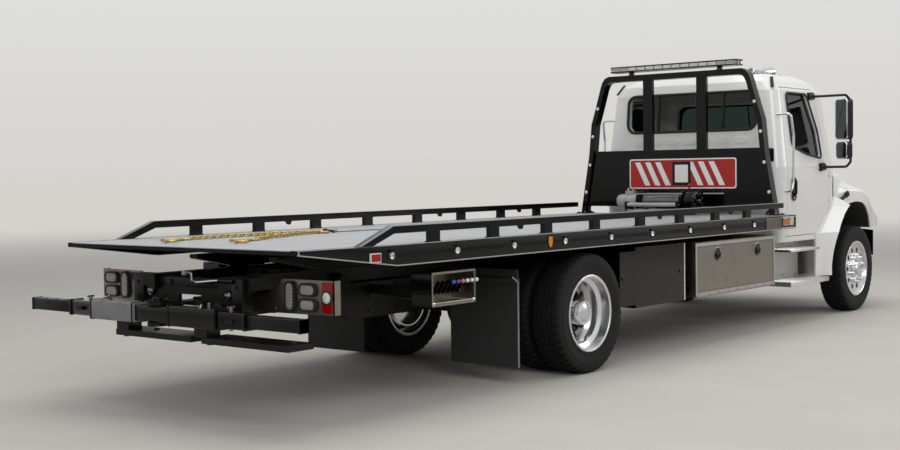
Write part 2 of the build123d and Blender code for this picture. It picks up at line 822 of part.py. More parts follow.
def hood_section(row, inset):
    """One cross section of the hood: fender, waist, shoulder and top on each side."""
    place, fender_half, fender, waist_half, waist, shoulder_half, shoulder, top_half, top = row
    half = [
        (fender_half - inset, HOOD_LOW),
        (fender_half - inset, fender - 0.6 * inset),
        (waist_half - 0.6 * inset, waist - inset),
        (shoulder_half - inset, shoulder - 0.5 * inset),
        (top_half - 0.4 * inset, top - inset),
    ]
    points = half + [(-y, z) for y, z in reversed(half)]
    face = make_face(Polyline(*points, close=True))
    upper = face.vertices().sort_by(Axis.Y)[2:]
    face = fillet(upper, 42 - inset)
    return Pos(place, 0, 0) * (Plane.YZ * face)


def arch_tool(grow):
    """The wheel arch's side outline as a cutter right across, made larger by grow."""
    rear = ThreePointArc((4785 - grow, 400), (4865 - grow, 760), (5060 - 0.7 * grow, 1035 + 0.7 * grow))
    crown = ThreePointArc(rear @ 1, (5390, 1195 + grow), (5680 + 0.7 * grow, 1085 + 0.7 * grow))
    front = ThreePointArc(crown @ 1, (5790 + grow, 985), (5840 + grow, 860))
    foot = Polyline(front @ 1, (5840 + grow, 400), (4785 - grow, 400))
    face = make_face(Curve() + [rear, crown, front, foot])
    return extrude(Pos(0, -1300, 0) * (Plane.XZ * face), amount=2600, dir=(0, 1, 0))


HOOD_FORM = loft([hood_section(row, 0) for row in HOOD_ROWS], ruled=False)


def seam_tool():
    """Everything behind the hood's rear edge and below its latch seam."""
    return side_plate([
        (4000, 200),
        (4000, HOOD_NOTCH_Z + HOOD_GAP),
        (5003, HOOD_NOTCH_Z + HOOD_GAP),
        (5066, 1243),
        (5241, 1158),
        (5241, 200),
    ], (-1300, 1300))


def hood():
    """The hood with its fenders, open below, cut round the wheels and along the cab."""
    last = HOOD_ROWS[-1]
    inner_rows = HOOD_ROWS[:-1] + [(last[0] - HOOD_T,) + last[1:]]
    shell = HOOD_FORM - loft([hood_section(row, HOOD_T) for row in inner_rows], ruled=False)
    hinge_x, hinge_z = HOOD_HINGE
    shell -= block((5400, 6500), (-1300, 1300), (400, hinge_z))
    shell -= arch_tool(0)
    shell -= loft([cab_outline((row[0] + shift,) + row[1:], -HOOD_GAP)
                   for row, shift in zip(CAB_ROWS[1:5], (-400, 0, 0, 0))], ruled=True)
    shell -= seam_tool()
    for side in (-1, 1):
        lamp = sorted((side * 530, side * 840))
        shell -= block((6250, 6400), lamp, HEADLAMP_Z)
    shell -= block((6300, 6400), (-GRILLE_HALF, GRILLE_HALF), GRILLE_Z)
    for side in (-1, 1):
        notch = sorted((side * (RAIL_Y - 20), side * (RAIL_Y + EAR_T + 16)))
        shell -= block((hinge_x - 40, hinge_x + 5), notch, (hinge_z - 1, hinge_z + 28))
        ear = sorted((side * (RAIL_Y + 5), side * (RAIL_Y + 5 + EAR_T)))
        shell += block((hinge_x - 34, hinge_x - 2), ear, (hinge_z - 14, hinge_z + 60))
        shell += rod_y(hinge_x, ear, hinge_z, 20)
        shell -= rod_y(hinge_x, ear, hinge_z, EAR_PIN_R + FIT)
    return max(shell.solids(), key=lambda solid: solid.volume)


def wheel_liners():
    """The left liner over the front wheel, hung inside the hood."""
    band = arch_tool(6) - arch_tool(0)
    band &= block((5244, 5900), (560, 1200), (HOOD_HINGE[1], 1300))
    band &= loft([hood_section(row, HOOD_T + REST) for row in HOOD_ROWS], ruled=False)
    return both_sides(band)


FAIRING_ROWS = [
    # height, then four outline points from the rear to the wheel arch
    (430, ((4553, 1036), (4690, 1046), (4745, 1090), (4800, 1128))),
    (880, ((4570, 1042), (4650, 1052), (4800, 1100), (4930, 1135))),
    (1150, ((4885, 1052), (4940, 1058), (5060, 1105), (5180, 1140))),
    (1280, ((4990, 1052), (5010, 1056), (5080, 1085), (5200, 1125))),
]


def cab_fairings():
    """The left fixed panel between the door, the steps and the front wheel."""
    thick = 22
    sections = []
    for height, rear in FAIRING_ROWS:
        outer = list(rear) + [(5300, 1150)]
        inner = [(x, y - thick) for x, y in reversed(outer)]
        sections.append(Pos(0, 0, height) * make_face(Polyline(*outer, *inner, close=True)))
    panel = loft(sections, ruled=True)
    panel -= arch_tool(0)
    above = HOOD_NOTCH_Z + 100
    cut_x, cut_z = DOOR_CUT
    panel -= side_plate([
        (4400, DOOR_SILL - 12),
        (cut_x + 6, DOOR_SILL - 12),
        (DOOR_FRONT + 14, cut_z - 8),
        (4998, HOOD_NOTCH_Z),
        (5060, 1235),
        (5235, 1150),
        (5400, 1150),
        (5400, above),
        (4400, above),
    ], (900, 1300))
    panel -= cab_form(-REST, 0, 0)
    panel -= block((4400, 5000), (900, CAB_ROWS[0][4] - 1), (CAB_FLOOR - 60, 1400))
    return both_sides(panel)


def grille():
    """Horizontal bars in a frame, set in the nose opening."""
    face_x = (6335, 6362)
    frame = block(face_x, (-GRILLE_HALF, GRILLE_HALF), GRILLE_Z)
    bars = 6
    inside = GRILLE_HALF - 20
    pitch = (GRILLE_Z[1] - GRILLE_Z[0]) / bars
    for bar in range(bars):
        low = GRILLE_Z[0] + pitch * bar + 8
        frame -= block((6300, 6400), (-inside, inside), (low, low + pitch - 16))
    return frame


def headlamps():
    """A headlamp block on each side of the nose."""
    lamp = block((6290, 6345), (530, 840), HEADLAMP_Z)
    return both_sides(lamp)


# Tilting frame, bed and cylinders
def tilt_frame():
    """Two box tubes tied by crossmembers, hinged at the back and carrying the wheel-lift mast."""
    low = TILT_TOP - TILT_TUBE
    tube_y = (TILT_Y - TILT_W / 2, TILT_Y + TILT_W / 2)
    tube = block((MAST_X - 45, TILT_FRONT), tube_y, (low, TILT_TOP))
    frame = tube + flip(tube)
    for place in (HINGE_X + 300, -900, 300, 1400, CYL_EYE[0], TILT_FRONT - 50):
        frame += block((place - 40, place + 40), (-TILT_Y, TILT_Y), (low + 20, TILT_TOP - 8))
    frame += rod_y(HINGE_X, (-RAIL_Y - 30, RAIL_Y + 30), HINGE_Z, HINGE_R)
    pad_y = (SILL_Y - SILL_W / 2 + 2, TILT_Y + TILT_W / 2 - 2)
    for place in (-2200, -1000, 200, 1400, TILT_FRONT - 100):
        pad = block((place - 80, place + 80), pad_y, (TILT_TOP, SILL_Z - REST))
        frame += pad + flip(pad)
    for side in (-1, 1):
        for lug in (-1, 1):
            middle = side * CYL_Y + lug * (ROD_R + 18)
            lug_z = (CYL_EYE[1] - 40, low + 21)
            frame += block((CYL_EYE[0] - 45, CYL_EYE[0] + 45), (middle - 6, middle + 6), lug_z)
    return frame


def cylinder_parts():
    """The left tilt cylinder's barrel and rod, laid between its two pins."""
    run = Vector(CYL_EYE[0] - CYL_BASE[0], 0, CYL_EYE[1] - CYL_BASE[1])
    length = run.length
    plane = Plane(origin=(CYL_BASE[0], CYL_Y, CYL_BASE[1]), x_dir=(0, 1, 0), z_dir=run)
    barrel_len = length - 130
    barrel = Pos(0, 0, 45 + (barrel_len - 45) / 2) * Cylinder(BARREL_R, barrel_len - 45)
    barrel += Rot(0, 90, 0) * Cylinder(38, 2 * BARREL_R - 4)
    barrel += Pos(0, 0, 30) * Box(2 * BARREL_R - 4, 60, 60)
    barrel -= Rot(0, 90, 0) * Cylinder(20 + FIT, 4 * BARREL_R)
    barrel -= Pos(0, 0, 80 + length / 2) * Cylinder(ROD_R + FIT, length)
    rod = Pos(0, 0, (100 + length - 30) / 2) * Cylinder(ROD_R, length - 130)
    rod += Pos(0, 0, length) * (Rot(0, 90, 0) * Cylinder(36, 2 * ROD_R + 12))
    return plane * barrel, plane * rod


def bed_deck():
    """The bed's flat steel plate, narrowed a little at the tail."""
    inside = BED_HALF - BEAM_T
    points = [
        (BED_TAIL, -1080),
        (TAPER_X, -inside),
        (BED_FRONT, -inside),
        (BED_FRONT, inside),
        (TAPER_X, inside),
        (BED_TAIL, 1080),
    ]
    return plan_plate(points, (DECK_TOP - DECK_T, DECK_TOP))


def bed_frame():
    """Side beams, long sills and crossmembers under the deck."""
    top = DECK_TOP
    low = top - BEAM_DEPTH
    inside = BED_HALF - BEAM_T
    outline = side_plate([
        (BED_TAIL, top),
        (BED_FRONT, top),
        (BED_FRONT, low),
        (TAPER_X, low),
        (BED_TAIL, top - 30),
    ], (1000, BED_HALF))
    beam = outline & plan_plate([
        (BED_TAIL, 1080),
        (TAPER_X, inside),
        (BED_FRONT, inside),
        (BED_FRONT, BED_HALF),
        (TAPER_X, BED_HALF),
        (BED_TAIL, 1080 + BEAM_T),
    ], (low, top))
    sill_top = SILL_Z + SILL_H
    sill = side_plate([
        (TAPER_X - 300, sill_top),
        (BED_FRONT - 60, sill_top),
        (BED_FRONT - 60, SILL_Z),
        (TAPER_X + 40, SILL_Z),
        (TAPER_X - 300, sill_top - 30),
    ], (SILL_Y - SILL_W / 2, SILL_Y + SILL_W / 2))
    solids = both_sides(beam) + both_sides(sill)
    under = DECK_TOP - DECK_T
    span = (REST - inside, inside - REST)
    pitch = 420
    count = 14
    for number in range(count):
        place = BED_FRONT - 100 - number * pitch
        solids.append(block((place - CROSS_W / 2, place + CROSS_W / 2), span, (sill_top + REST, under)))
    tail_half = 1080 - REST
    solids.append(block((BED_TAIL, BED_TAIL + 80), (-tail_half, tail_half), (under - 24, under)))
    solids.append(block((BED_FRONT - 20, BED_FRONT), span, (low, under)))
    return solids


def side_rails():
    """A low tube rail on posts along each side of the bed, ramped down at the tail."""
    outer = BED_HALF - 8
    inner = outer - RAIL_TUBE
    tube_low = RAIL_TOP_Z - RAIL_TUBE
    rail_end = HEAD_X - HOOP_HALF - FIT
    rail = side_plate([
        (RAIL_RAMP[0], DECK_TOP),
        (RAIL_RAMP[1], RAIL_TOP_Z),
        (rail_end, RAIL_TOP_Z),
        (rail_end, tube_low),
        (RAIL_RAMP[1] + 12, tube_low),
        (RAIL_RAMP[0] + 130, DECK_TOP),
    ], (inner, outer))
    post_rows = (-1890, -1240, -590, 60, 740, 1390, 2030, 2650)
    for place in post_rows:
        rail += block((place - POST_W / 2, place + POST_W / 2), (inner + 8, outer), (DECK_TOP, tube_low))
    return both_sides(rail)


def headboard():
    """The cab guard: a box-tube hoop with flared feet, two bars and a lower panel."""
    tube_x = (HEAD_X - HOOP_HALF, HEAD_X + HOOP_HALF)
    outer = [(1125, DECK_TOP), (1017, 1735), (985, 2060), (850, 2480), (770, HOOP_TOP)]
    inner = [(1073, DECK_TOP - 1), (965, 1735), (934, 2050), (806, 2448), (744, HOOP_TOP - 62)]
    hoop = end_plate(outer + [(-y, z) for y, z in reversed(outer)], tube_x)
    cut_x = (tube_x[0] - 1, tube_x[1] + 1)
    hoop -= end_plate(inner + [(-y, z) for y, z in reversed(inner)], cut_x)
    low, high = HEAD_PANEL
    outline = [(-1080, low), (-985, high), (985, high), (1080, low)]
    hoop += end_plate(outline, (HEAD_X - 20, HEAD_X - 10))
    for side in (-1, 1):
        bar = sorted((side * 255, side * 365))
        hoop += block((HEAD_X - 20, HEAD_X + 20), bar, (high - 20, HOOP_TOP - 60))
        foot = sorted((side * 1050, side * 1155))
        hoop += block((HEAD_X - 90, HEAD_X + 90), foot, (DECK_TOP, DECK_TOP + 12))
    return hoop


def lightbar():
    """A long amber lamp bar on two feet above the headboard."""
    bar = block((HEAD_X - 90, HEAD_X + 90), (-740, 740), (2595, 2650))
    bar = fillet(bar.edges().filter_by(Axis.Z), 60)
    for side in (-1, 1):
        bar += block((HEAD_X - 30, HEAD_X + 30), sorted((side * 480, side * 540)), (HOOP_TOP, 2596))
    return bar


def winch():
    """A rope drum between two cheeks with a gear case, a motor and a roller guide in front."""
    rope_z = DECK_TOP + ROPE_Z
    drum_z = rope_z + ROPE_R + DRUM_R
    body = Part()
    for place in (-260, 236):
        body += block((WINCH_X - 110, WINCH_X + 110), (place, place + 24), (DECK_TOP, drum_z + 100))
    body += rod_y(WINCH_X, (-240, 240), drum_z, DRUM_R)
    for place in (-236, 222):
        body += rod_y(WINCH_X, (place, place + 14), drum_z, 100)
    body += rod_y(WINCH_X, (260, 520), drum_z, 75)
    body += rod_y(WINCH_X, (-400, -260), drum_z, 88)
    guide_x = WINCH_X - 230
    roller_r = 20
    for place in (-300, 280):
        body += block((guide_x - 30, WINCH_X - 109), (place, place + 20), (DECK_TOP, rope_z + 64))
    for lift in (-1, 1):
        body += rod_y(guide_x, (-300, 300), rope_z + lift * (roller_r + ROPE_R + 8), roller_r)
    return body


def winch_rope():
    """The steel rope, pulled straight from the drum through the rollers to the bridle."""
    rope_z = DECK_TOP + ROPE_Z
    guide_x = WINCH_X - 230
    points = [
        (WINCH_X, 60, rope_z),
        (guide_x, 75, rope_z),
        (guide_x - 900, 160, DECK_TOP + ROPE_R + 1),
        (BRIDLE_X + 150, BRIDLE_Y, DECK_TOP + ROPE_R + 1),
    ]
    return round_path(points, 400, ROPE_R)


def bridle():
    """The chain bridle on the deck: a ring, two legs and a hook cluster at each tail end."""
    top = DECK_TOP + CHAIN_H
    z = (DECK_TOP, top)
    ring = rod_z(BRIDLE_X, BRIDLE_Y, z, 62) - rod_z(BRIDLE_X, BRIDLE_Y, z, 38)
    hook = block((BRIDLE_X + 60, BRIDLE_X + 148), (BRIDLE_Y - 22, BRIDLE_Y + 22), z)
    solids = [ring + hook]
    legs = [
        # start beside the ring, end at the hook cluster
        ((BRIDLE_X - 48, BRIDLE_Y + 60), (-2500, 560)),
        ((BRIDLE_X - 68, BRIDLE_Y - 20), (-2330, 40)),
    ]
    half = 16
    for start, end in legs:
        along = Vector(end[0] - start[0], end[1] - start[1], 0)
        side = Vector(-along.Y, along.X, 0).normalized() * half
        outline = [
            (start[0] + side.X, start[1] + side.Y),
            (end[0] + side.X, end[1] + side.Y),
            (end[0] - side.X, end[1] - side.Y),
            (start[0] - side.X, start[1] - side.Y),
        ]
        leg = plan_plate(outline, z)
        leg += plan_plate([
            (end[0] + 60, end[1] + 45),
            (end[0] - 240, end[1] - 60),
            (end[0] - 360, end[1] - 210),
            (end[0] - 330, end[1] - 225),
            (end[0] - 190, end[1] - 130),
            (end[0] + 60, end[1] - 45),
        ], z)
        solids.append(leg)
    return solids


def lift_mast():
    """The mast behind the hinge: boom cheeks and two posts tied to the tubes."""
    pin_x, pin_z = BOOM_PIN
    body = Part()
    for side in (-1, 1):
        cheek = sorted((side * (BOOM_HALF + 6), side * (BOOM_HALF + 26)))
        body += side_plate([
            (HINGE_X - 90, TILT_TOP - 5),
            (HINGE_X - 90, 700),
            (pin_x + 60, pin_z - 70),
            (pin_x - 60, pin_z - 70),
            (pin_x - 60, pin_z + 60),
            (HINGE_X - 230, TILT_TOP - 5),
        ], cheek)
        post = sorted((side * (POST_Y - 45), side * (POST_Y + 45)))
        body += block((MAST_X - 45, MAST_X + 45), post, (630, TILT_TOP))
        tie = sorted((side * (TILT_Y + TILT_W / 2 - 1), side * (POST_Y - 44)))
        body += block((MAST_X - 45, MAST_X + 45), tie, (TILT_TOP - 80, TILT_TOP))
    body += rod_y(pin_x, (-BOOM_HALF - 26, BOOM_HALF + 26), pin_z, 30)
    body += block((HINGE_X - 230, HINGE_X - 150), (-TILT_Y, TILT_Y), (TILT_TOP - 80, TILT_TOP - 8))
    return body


def mast_plates():
    """The drilled plates between the mast posts and the strip over the boom."""
    plate_x = (MAST_X - 12, MAST_X + 12)
    slot = 110
    high = TILT_TOP - 75
    plate = block(plate_x, (slot, POST_Y - 45 - REST), (650, high))
    plate -= end_plate([(180, 690), (330, 690), (255, 790)], (plate_x[0] - 1, plate_x[1] + 1))
    return both_sides(plate) + [block(plate_x, (REST - slot, slot - REST), (high - 50, high))]


def lamp_panels():
    """A bent lamp plate each side, carried by an arm from the mast post."""
    x = (-2790, -2780)
    outer = 1150
    plate = end_plate([(400, 690), (400, 800), (640, 840), (700, 910), (outer, 912), (outer, 700)], x)
    arm = block((MAST_X + 45, x[0] + 2), (POST_Y - 20, POST_Y + 20), (730, 790))
    lamps = Part()
    lamp_rows = [
        # place across, height, width, depth
        (790, 805, 75, 190),
        (920, 857, 130, 76),
        (920, 757, 130, 76),
        (1080, 805, 80, 190),
    ]
    for y, z, wide, high in lamp_rows:
        face = RectangleRounded(wide, high, min(wide, high) / 2 - 1)
        lamps += extrude(Pos(x[0] + 1, y, z) * (Plane.YZ * face), amount=23, dir=(-1, 0, 0))
    return both_sides(plate + arm + lamps)


def lift_boom():
    """The outer boom: a square tube hinged on the mast."""
    pin_x, pin_z = BOOM_PIN
    half = BOOM_HALF
    wall = 10
    boom = block((-2860, pin_x + 70), (-half, half), (pin_z - half, pin_z + half))
    hollow = half - wall
    boom -= block((-2861, pin_x - 70), (-hollow, hollow), (pin_z - hollow, pin_z + hollow))
    boom -= rod_y(pin_x, (-200, 200), pin_z, 30 + FIT)
    return boom


def inner_boom():
    """The sliding boom with a forked head and the crossbar's pivot pin."""
    half = BOOM_HALF - 10 - FIT
    z = BOOM_PIN[1]
    back = CROSSBAR_X + 70
    boom = block((back, BOOM_PIN[0] - 80), (-half, half), (z - half, z + half))
    bar = CROSSBAR_T / 2 + 3
    for low in (z - bar - 25, z + bar):
        boom += block((CROSSBAR_X, back + 60), (-half, half), (low, low + 25))
        boom += rod_z(CROSSBAR_X, 0, (low, low + 25), half)
    boom += rod_z(CROSSBAR_X, 0, (z - bar - 25, z + bar + 25), 28)
    return boom


def crossbar():
    """The crossbar: a main tube on the pivot and a thinner bar out of each end."""
    z = BOOM_PIN[1]
    half = CROSSBAR_T / 2
    main_half = 860
    bar = block((CROSSBAR_X - half, CROSSBAR_X + half), (-main_half, main_half), (z - half, z + half))
    thin = half - 10
    thin_x = (CROSSBAR_X - thin, CROSSBAR_X + thin)
    bar += block(thin_x, (-CROSSBAR_HALF, CROSSBAR_HALF), (z - thin, z + thin))
    bar -= rod_z(CROSSBAR_X, 0, (z - 100, z + 100), 28 + FIT)
    return bar


def wheel_arms():
    """The wheel-lift arms, folded flat under the crossbar on their sleeves."""
    z = BOOM_PIN[1]
    half = CROSSBAR_T / 2
    arms = []
    for side in (-1, 1):
        sleeve_y = sorted((side * 170, side * 630))
        skin = half + 12
        sleeve = block((CROSSBAR_X - skin, CROSSBAR_X + skin), sleeve_y, (z - skin, z + skin))
        sleeve -= block((CROSSBAR_X - half, CROSSBAR_X + half), (-900, 900), (z - half, z + half))
        drop = sorted((side * 330, side * 450))
        sleeve += block((CROSSBAR_X + 20, CROSSBAR_X + 130), drop, (z - half - 80, z - half - 12))
        arm = sorted((side * 90, side * 850))
        sleeve += block((CROSSBAR_X + 20, CROSSBAR_X + 230), arm, (z - half - 140, z - half - 79))
        arms.append(sleeve)
    return arms


def tool_box():
    """The left tool box: an open-fronted case hung beside the rail."""
    case = block(BOX_X, BOX_Y, BOX_Z)
    case -= block((BOX_X[0] + BOX_WALL, BOX_X[1] - BOX_WALL), (BOX_Y[0] + BOX_WALL, BOX_Y[1] + 1),
                  (BOX_Z[0] + BOX_WALL, BOX_Z[1] - BOX_WALL))
    for place in (BOX_X[0] + 200, BOX_X[1] - 300):
        case += block((place, place + 60), (RAIL_Y, BOX_Y[0]), (600, 780))
    return case


def tool_box_door():
    """The left tool box door, hinged along its lower edge, with two paddle latches."""
    face = BOX_Y[1]
    door_z = (BOX_Z[0] + 6, BOX_Z[1] - 2)
    panel = block((BOX_X[0] + 2, BOX_X[1] - 2), (face + FIT, face + BOX_DOOR_T), door_z)
    for place in (2150, 2950):
        latch = Pos(place, face + BOX_DOOR_T, 800) * Rot(90, 0, 0) * Cylinder(58, 6)
        panel += latch
    return panel + rod_x((BOX_X[0] + 10, BOX_X[1] - 10), BOX_HINGE[0], BOX_HINGE[1], 6)


def mud_flaps():
    """A flap behind each pair of rear wheels and a curved guard behind each front wheel."""
    flap = block((FLAP_X - 6, FLAP_X + 6), (450, 1080), (130, 850))
    bar = block((FLAP_X - 20, FLAP_X + 20), (RAIL_Y, 1080), (745, 785))
    guard = (arch_tool(6) - arch_tool(0)) & block((4700, 5215), (560, 1070), (440, 1300))
    guard += block((4790, 4850), (RAIL_Y, 600), (640, 680))
    return both_sides(flap + bar) + both_sides(guard)


def control_station():
    """A lever box behind each rear wheel, open on its outer side, with eight levers."""
    x = (-1860, -1390)
    outer = 1150
    depth = 180
    z = (670, 900)
    case = block(x, (outer - depth, outer), z)
    case -= block((x[0] + 15, x[1] - 15), (outer - depth + 15, outer + 1), (z[0] + 15, z[1] - 15))
    bracket = block((-1700, -1640), (RAIL_Y, outer - depth), (720, 780))
    case += bracket
    levers = 8
    for number in range(levers):
        place = x[0] + 55 + number * (x[1] - x[0] - 110) / (levers - 1)
        case += rod_y(place, (outer - depth + 14, outer - 20), 760, 7)
        case += Pos(place, outer - 20, 760) * Sphere(16)
    return both_sides(case)


NODES = {
    "chassis_frame": [chassis_frame()],
    "front_axle": [front_axle()],
    "rear_axle": [rear_axle()],
    "leaf_springs": leaf_springs(),
    "powertrain": powertrain(),
    "tanks": tanks(),
    "exhaust": exhaust(),
    "front_bumper": [front_bumper()],
    "tow_eyes": tow_eyes(),
    "cab_shell": [cab_shell()],
    "cab_glass": cab_glass(),
    "seats": seats(),
    "dashboard": [dashboard()],
    "cab_steps": cab_steps(),
    "grab_handles": grab_handles(),
    "cab_fairings": cab_fairings(),
    "hood": [hood()],
    "wheel_liners": wheel_liners(),
    "grille": [grille()],
    "headlamps": headlamps(),
    "tilt_frame": [tilt_frame() + lift_mast()] + mast_plates(),
    "lamp_panels": lamp_panels(),
    "bed_deck": [bed_deck()],
    "bed_frame": bed_frame(),
    "side_rails": side_rails(),
    "headboard": [headboard()],
    "lightbar": [lightbar()],
    "winch": [winch()],
    "lift_boom": [lift_boom()],
    "inner_boom": [inner_boom()],
    "crossbar": [crossbar()],
    "wheel_arms": wheel_arms(),
    "mud_flaps": mud_flaps(),
    "control_stations": control_station(),
    "tool_boxes": both_sides(tool_box()),
    "winch_rope": [winch_rope()],
    "chain_bridle": bridle(),
}

SIDED = {
    "tool_box_door": tool_box_door(),
    "door": door(),
    "door_glass": glass_pane(window_tool()),
    "mirror": mirror_set(),
    "knuckle": knuckle(),
    "front_rim": front_wheel(),
    "front_tyre": Pos(WHEELBASE, 0, 0) * tyre(FRONT_TRACK_Y),
    "rear_rims": rear_wheels(),
    "rear_tyres": tyre(REAR_INNER_Y) + tyre(REAR_OUTER_Y),
    "tilt_barrel": cylinder_parts()[0],
    "tilt_rod": cylinder_parts()[1],
}

for name, shapes in NODES.items():
    publish(name, *shapes)
for name, shape in SIDED.items():
    publish(name + "_left", shape)
    publish(name + "_right", flip(shape))
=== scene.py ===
"""Looks of a flatbed tow truck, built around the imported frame.

Meshes are drawn in millimetres: X ahead of the rear axle, Y left of the middle, Z over the
ground. TO_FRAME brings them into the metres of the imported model.
"""

import logging
import math
from dataclasses import dataclass
from enum import Enum
from typing import Any, Iterable, Optional, Sequence

import bmesh
import bpy
from mathutils import Matrix, Vector


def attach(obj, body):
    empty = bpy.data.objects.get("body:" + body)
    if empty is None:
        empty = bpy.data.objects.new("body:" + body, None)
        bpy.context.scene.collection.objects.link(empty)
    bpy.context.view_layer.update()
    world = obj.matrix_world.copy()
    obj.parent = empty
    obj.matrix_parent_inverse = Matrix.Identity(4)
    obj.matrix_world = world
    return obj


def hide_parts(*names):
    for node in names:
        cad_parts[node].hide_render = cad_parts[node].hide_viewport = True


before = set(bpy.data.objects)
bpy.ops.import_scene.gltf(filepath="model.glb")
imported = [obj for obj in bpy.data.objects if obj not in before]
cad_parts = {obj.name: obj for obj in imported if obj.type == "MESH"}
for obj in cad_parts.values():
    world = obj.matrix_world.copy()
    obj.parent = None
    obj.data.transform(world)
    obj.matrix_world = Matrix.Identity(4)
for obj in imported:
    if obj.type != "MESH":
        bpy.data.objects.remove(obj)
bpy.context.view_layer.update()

logging.basicConfig(level=logging.INFO, format="%(message)s")
LOG = logging.getLogger("tow_truck")

MILLI = 0.001
BOX_MIDDLE = 1571.5
TO_FRAME = Matrix.Scale(MILLI, 4) @ Matrix.Translation((-BOX_MIDDLE, 0.0, 0.0))
Point = Sequence[float]
Flat = Sequence[tuple[float, float]]
SIDES = {"left": 1, "right": -1}
FRONT_AXLE = 5400.0
AXLE_Z = 465.0
FRONT_WHEEL_Y = 1020.0
TWIN_WHEELS_Y = (772.0, 1068.0)
SHARP_EDGE = 0.5
CREASE = math.radians(35)
# How (a, b) on an outline and c along its axis become (x, y, z).
PLANES = {"X": lambda a, b, c: (c, a, b), "Y": lambda a, b, c: (a, c, b), "Z": lambda a, b, c: (a, b, c)}


def at(x: float, y: float, z: float) -> Vector:
    """Turn millimetres from the rear axle into a point of the frame.

    Args:
        x: Distance ahead of the rear axle.
        y: Distance left of the middle.
        z: Height over the ground.

    Returns:
        The point in metres.
    """
    return Vector(((x - BOX_MIDDLE) * MILLI, y * MILLI, z * MILLI))


def rgba(code: str) -> tuple[float, float, float, float]:
    """Turn an sRGB hex colour into linear light.

    Args:
        code: Six hex digits.

    Returns:
        Linear red, green and blue, with full cover.
    """
    parts = [int(code[i:i + 2], 16) / 255 for i in (0, 2, 4)]
    linear = [p / 12.92 if p <= 0.04045 else ((p + 0.055) / 1.055) ** 2.4 for p in parts]
    return (linear[0], linear[1], linear[2], 1.0)


def add_node(tree: bpy.types.NodeTree, kind: str, inputs: Optional[dict[Any, Any]] = None,
             **settings: Any) -> bpy.types.Node:
    """Add one node with its settings and its links.

    Args:
        tree: The node tree that gets it.
        kind: The node's type.
        inputs: A value, or a socket to link from, for each input by name or number.
        settings: Values of the node's own properties.

    Returns:
        The new node.
    """
    node = tree.nodes.new(kind)
    for name, value in settings.items():
        setattr(node, name, value)
    for name, value in (inputs or {}).items():
        if isinstance(value, bpy.types.NodeSocket):
            tree.links.new(value, node.inputs[name])
        else:
            node.inputs[name].default_value = value
    return node


class Grain(Enum):
    """The direction in which a metal was brushed or rolled."""

    ALONG = (1.0, 60.0, 60.0)
    UPRIGHT = (60.0, 60.0, 1.0)


@dataclass(frozen=True)
class Coat:
    """A material being made: its nodes, its shader and the coordinates that its patterns use."""

    tree: bpy.types.NodeTree
    shader: bpy.types.Node
    spot: bpy.types.NodeSocket


@dataclass(frozen=True)
class Finish:
    """A surface: what the real one is made of, its colour and how it takes light."""

    name: str
    colour: str
    rough: float = 0.5
    metallic: float = 0.0
    extras: tuple[tuple[str, float], ...] = ()

    def material(self) -> bpy.types.Material:
        """Give the finish's material, made on first use.

        Returns:
            The Blender material.
        """
        known = bpy.data.materials.get(self.name)
        if known is not None:
            return known
        material = bpy.data.materials.new(self.name)
        material.use_nodes = True
        tree = material.node_tree
        shader = tree.nodes["Principled BSDF"]
        shader.inputs["Base Color"].default_value = rgba(self.colour)
        shader.inputs["Roughness"].default_value = self.rough
        shader.inputs["Metallic"].default_value = self.metallic
        for socket, value in self.extras:
            shader.inputs[socket].default_value = value
        spot = add_node(tree, "ShaderNodeTexCoord").outputs["Object"]
        self.dress(Coat(tree, shader, spot))
        return material

    def dress(self, coat: Coat) -> None:
        """Add the pattern of this kind of surface. Plain finishes add a faint cloud of dust.

        Args:
            coat: The material being made.
        """
        self.cloud(coat, 3.0, 0.12)

    def cloud(self, coat: Coat, scale: float, depth: float) -> bpy.types.NodeSocket:
        """Vary the roughness in soft patches, as dust and handling do.

        Args:
            coat: The material being made.
            scale: Patches to the metre.
            depth: How far the roughness moves each way.

        Returns:
            The patches as a factor.
        """
        noise = add_node(coat.tree, "ShaderNodeTexNoise",
                         {"Vector": coat.spot, "Scale": scale, "Detail": 6.0, "Roughness": 0.62})
        spread = add_node(coat.tree, "ShaderNodeMapRange", {
            "Value": noise.outputs["Fac"], "From Min": 0.3, "From Max": 0.7,
            "To Min": max(0.02, self.rough - depth), "To Max": min(1.0, self.rough + depth)})
        coat.tree.links.new(spread.outputs["Result"], coat.shader.inputs["Roughness"])
        return noise.outputs["Fac"]

    def tint(self, coat: Coat, factor: bpy.types.NodeSocket, other: str, low: float, high: float) -> None:
        """Mix the colour towards another where a factor runs from low to high.

        Args:
            coat: The material being made.
            factor: What drives the mix.
            other: The other colour.
            low: The factor where the mix starts.
            high: The factor where the other colour is whole.
        """
        ramp = add_node(coat.tree, "ShaderNodeMapRange",
                        {"Value": factor, "From Min": low, "From Max": high},
                        interpolation_type="SMOOTHSTEP")
        socket = coat.shader.inputs["Base Color"]
        before = socket.links[0].from_socket if socket.links else tuple(socket.default_value)
        blend = add_node(coat.tree, "ShaderNodeMix",
                         {"Factor": ramp.outputs["Result"], 6: before, 7: rgba(other)}, data_type="RGBA")
        coat.tree.links.new(blend.outputs[2], socket)

    def bump(self, coat: Coat, height: bpy.types.NodeSocket, millimetres: float) -> None:
        """Raise the surface by a height pattern.

        Args:
            coat: The material being made.
            height: The pattern, 0 to 1.
            millimetres: How high 1 stands.
        """
        inputs = {"Height": height, "Distance": millimetres * MILLI, "Strength": 1.0}
        normal = coat.shader.inputs["Normal"]
        if normal.links:
            inputs["Normal"] = normal.links[0].from_socket
        coat.tree.links.new(add_node(coat.tree, "ShaderNodeBump", inputs).outputs["Normal"], normal)


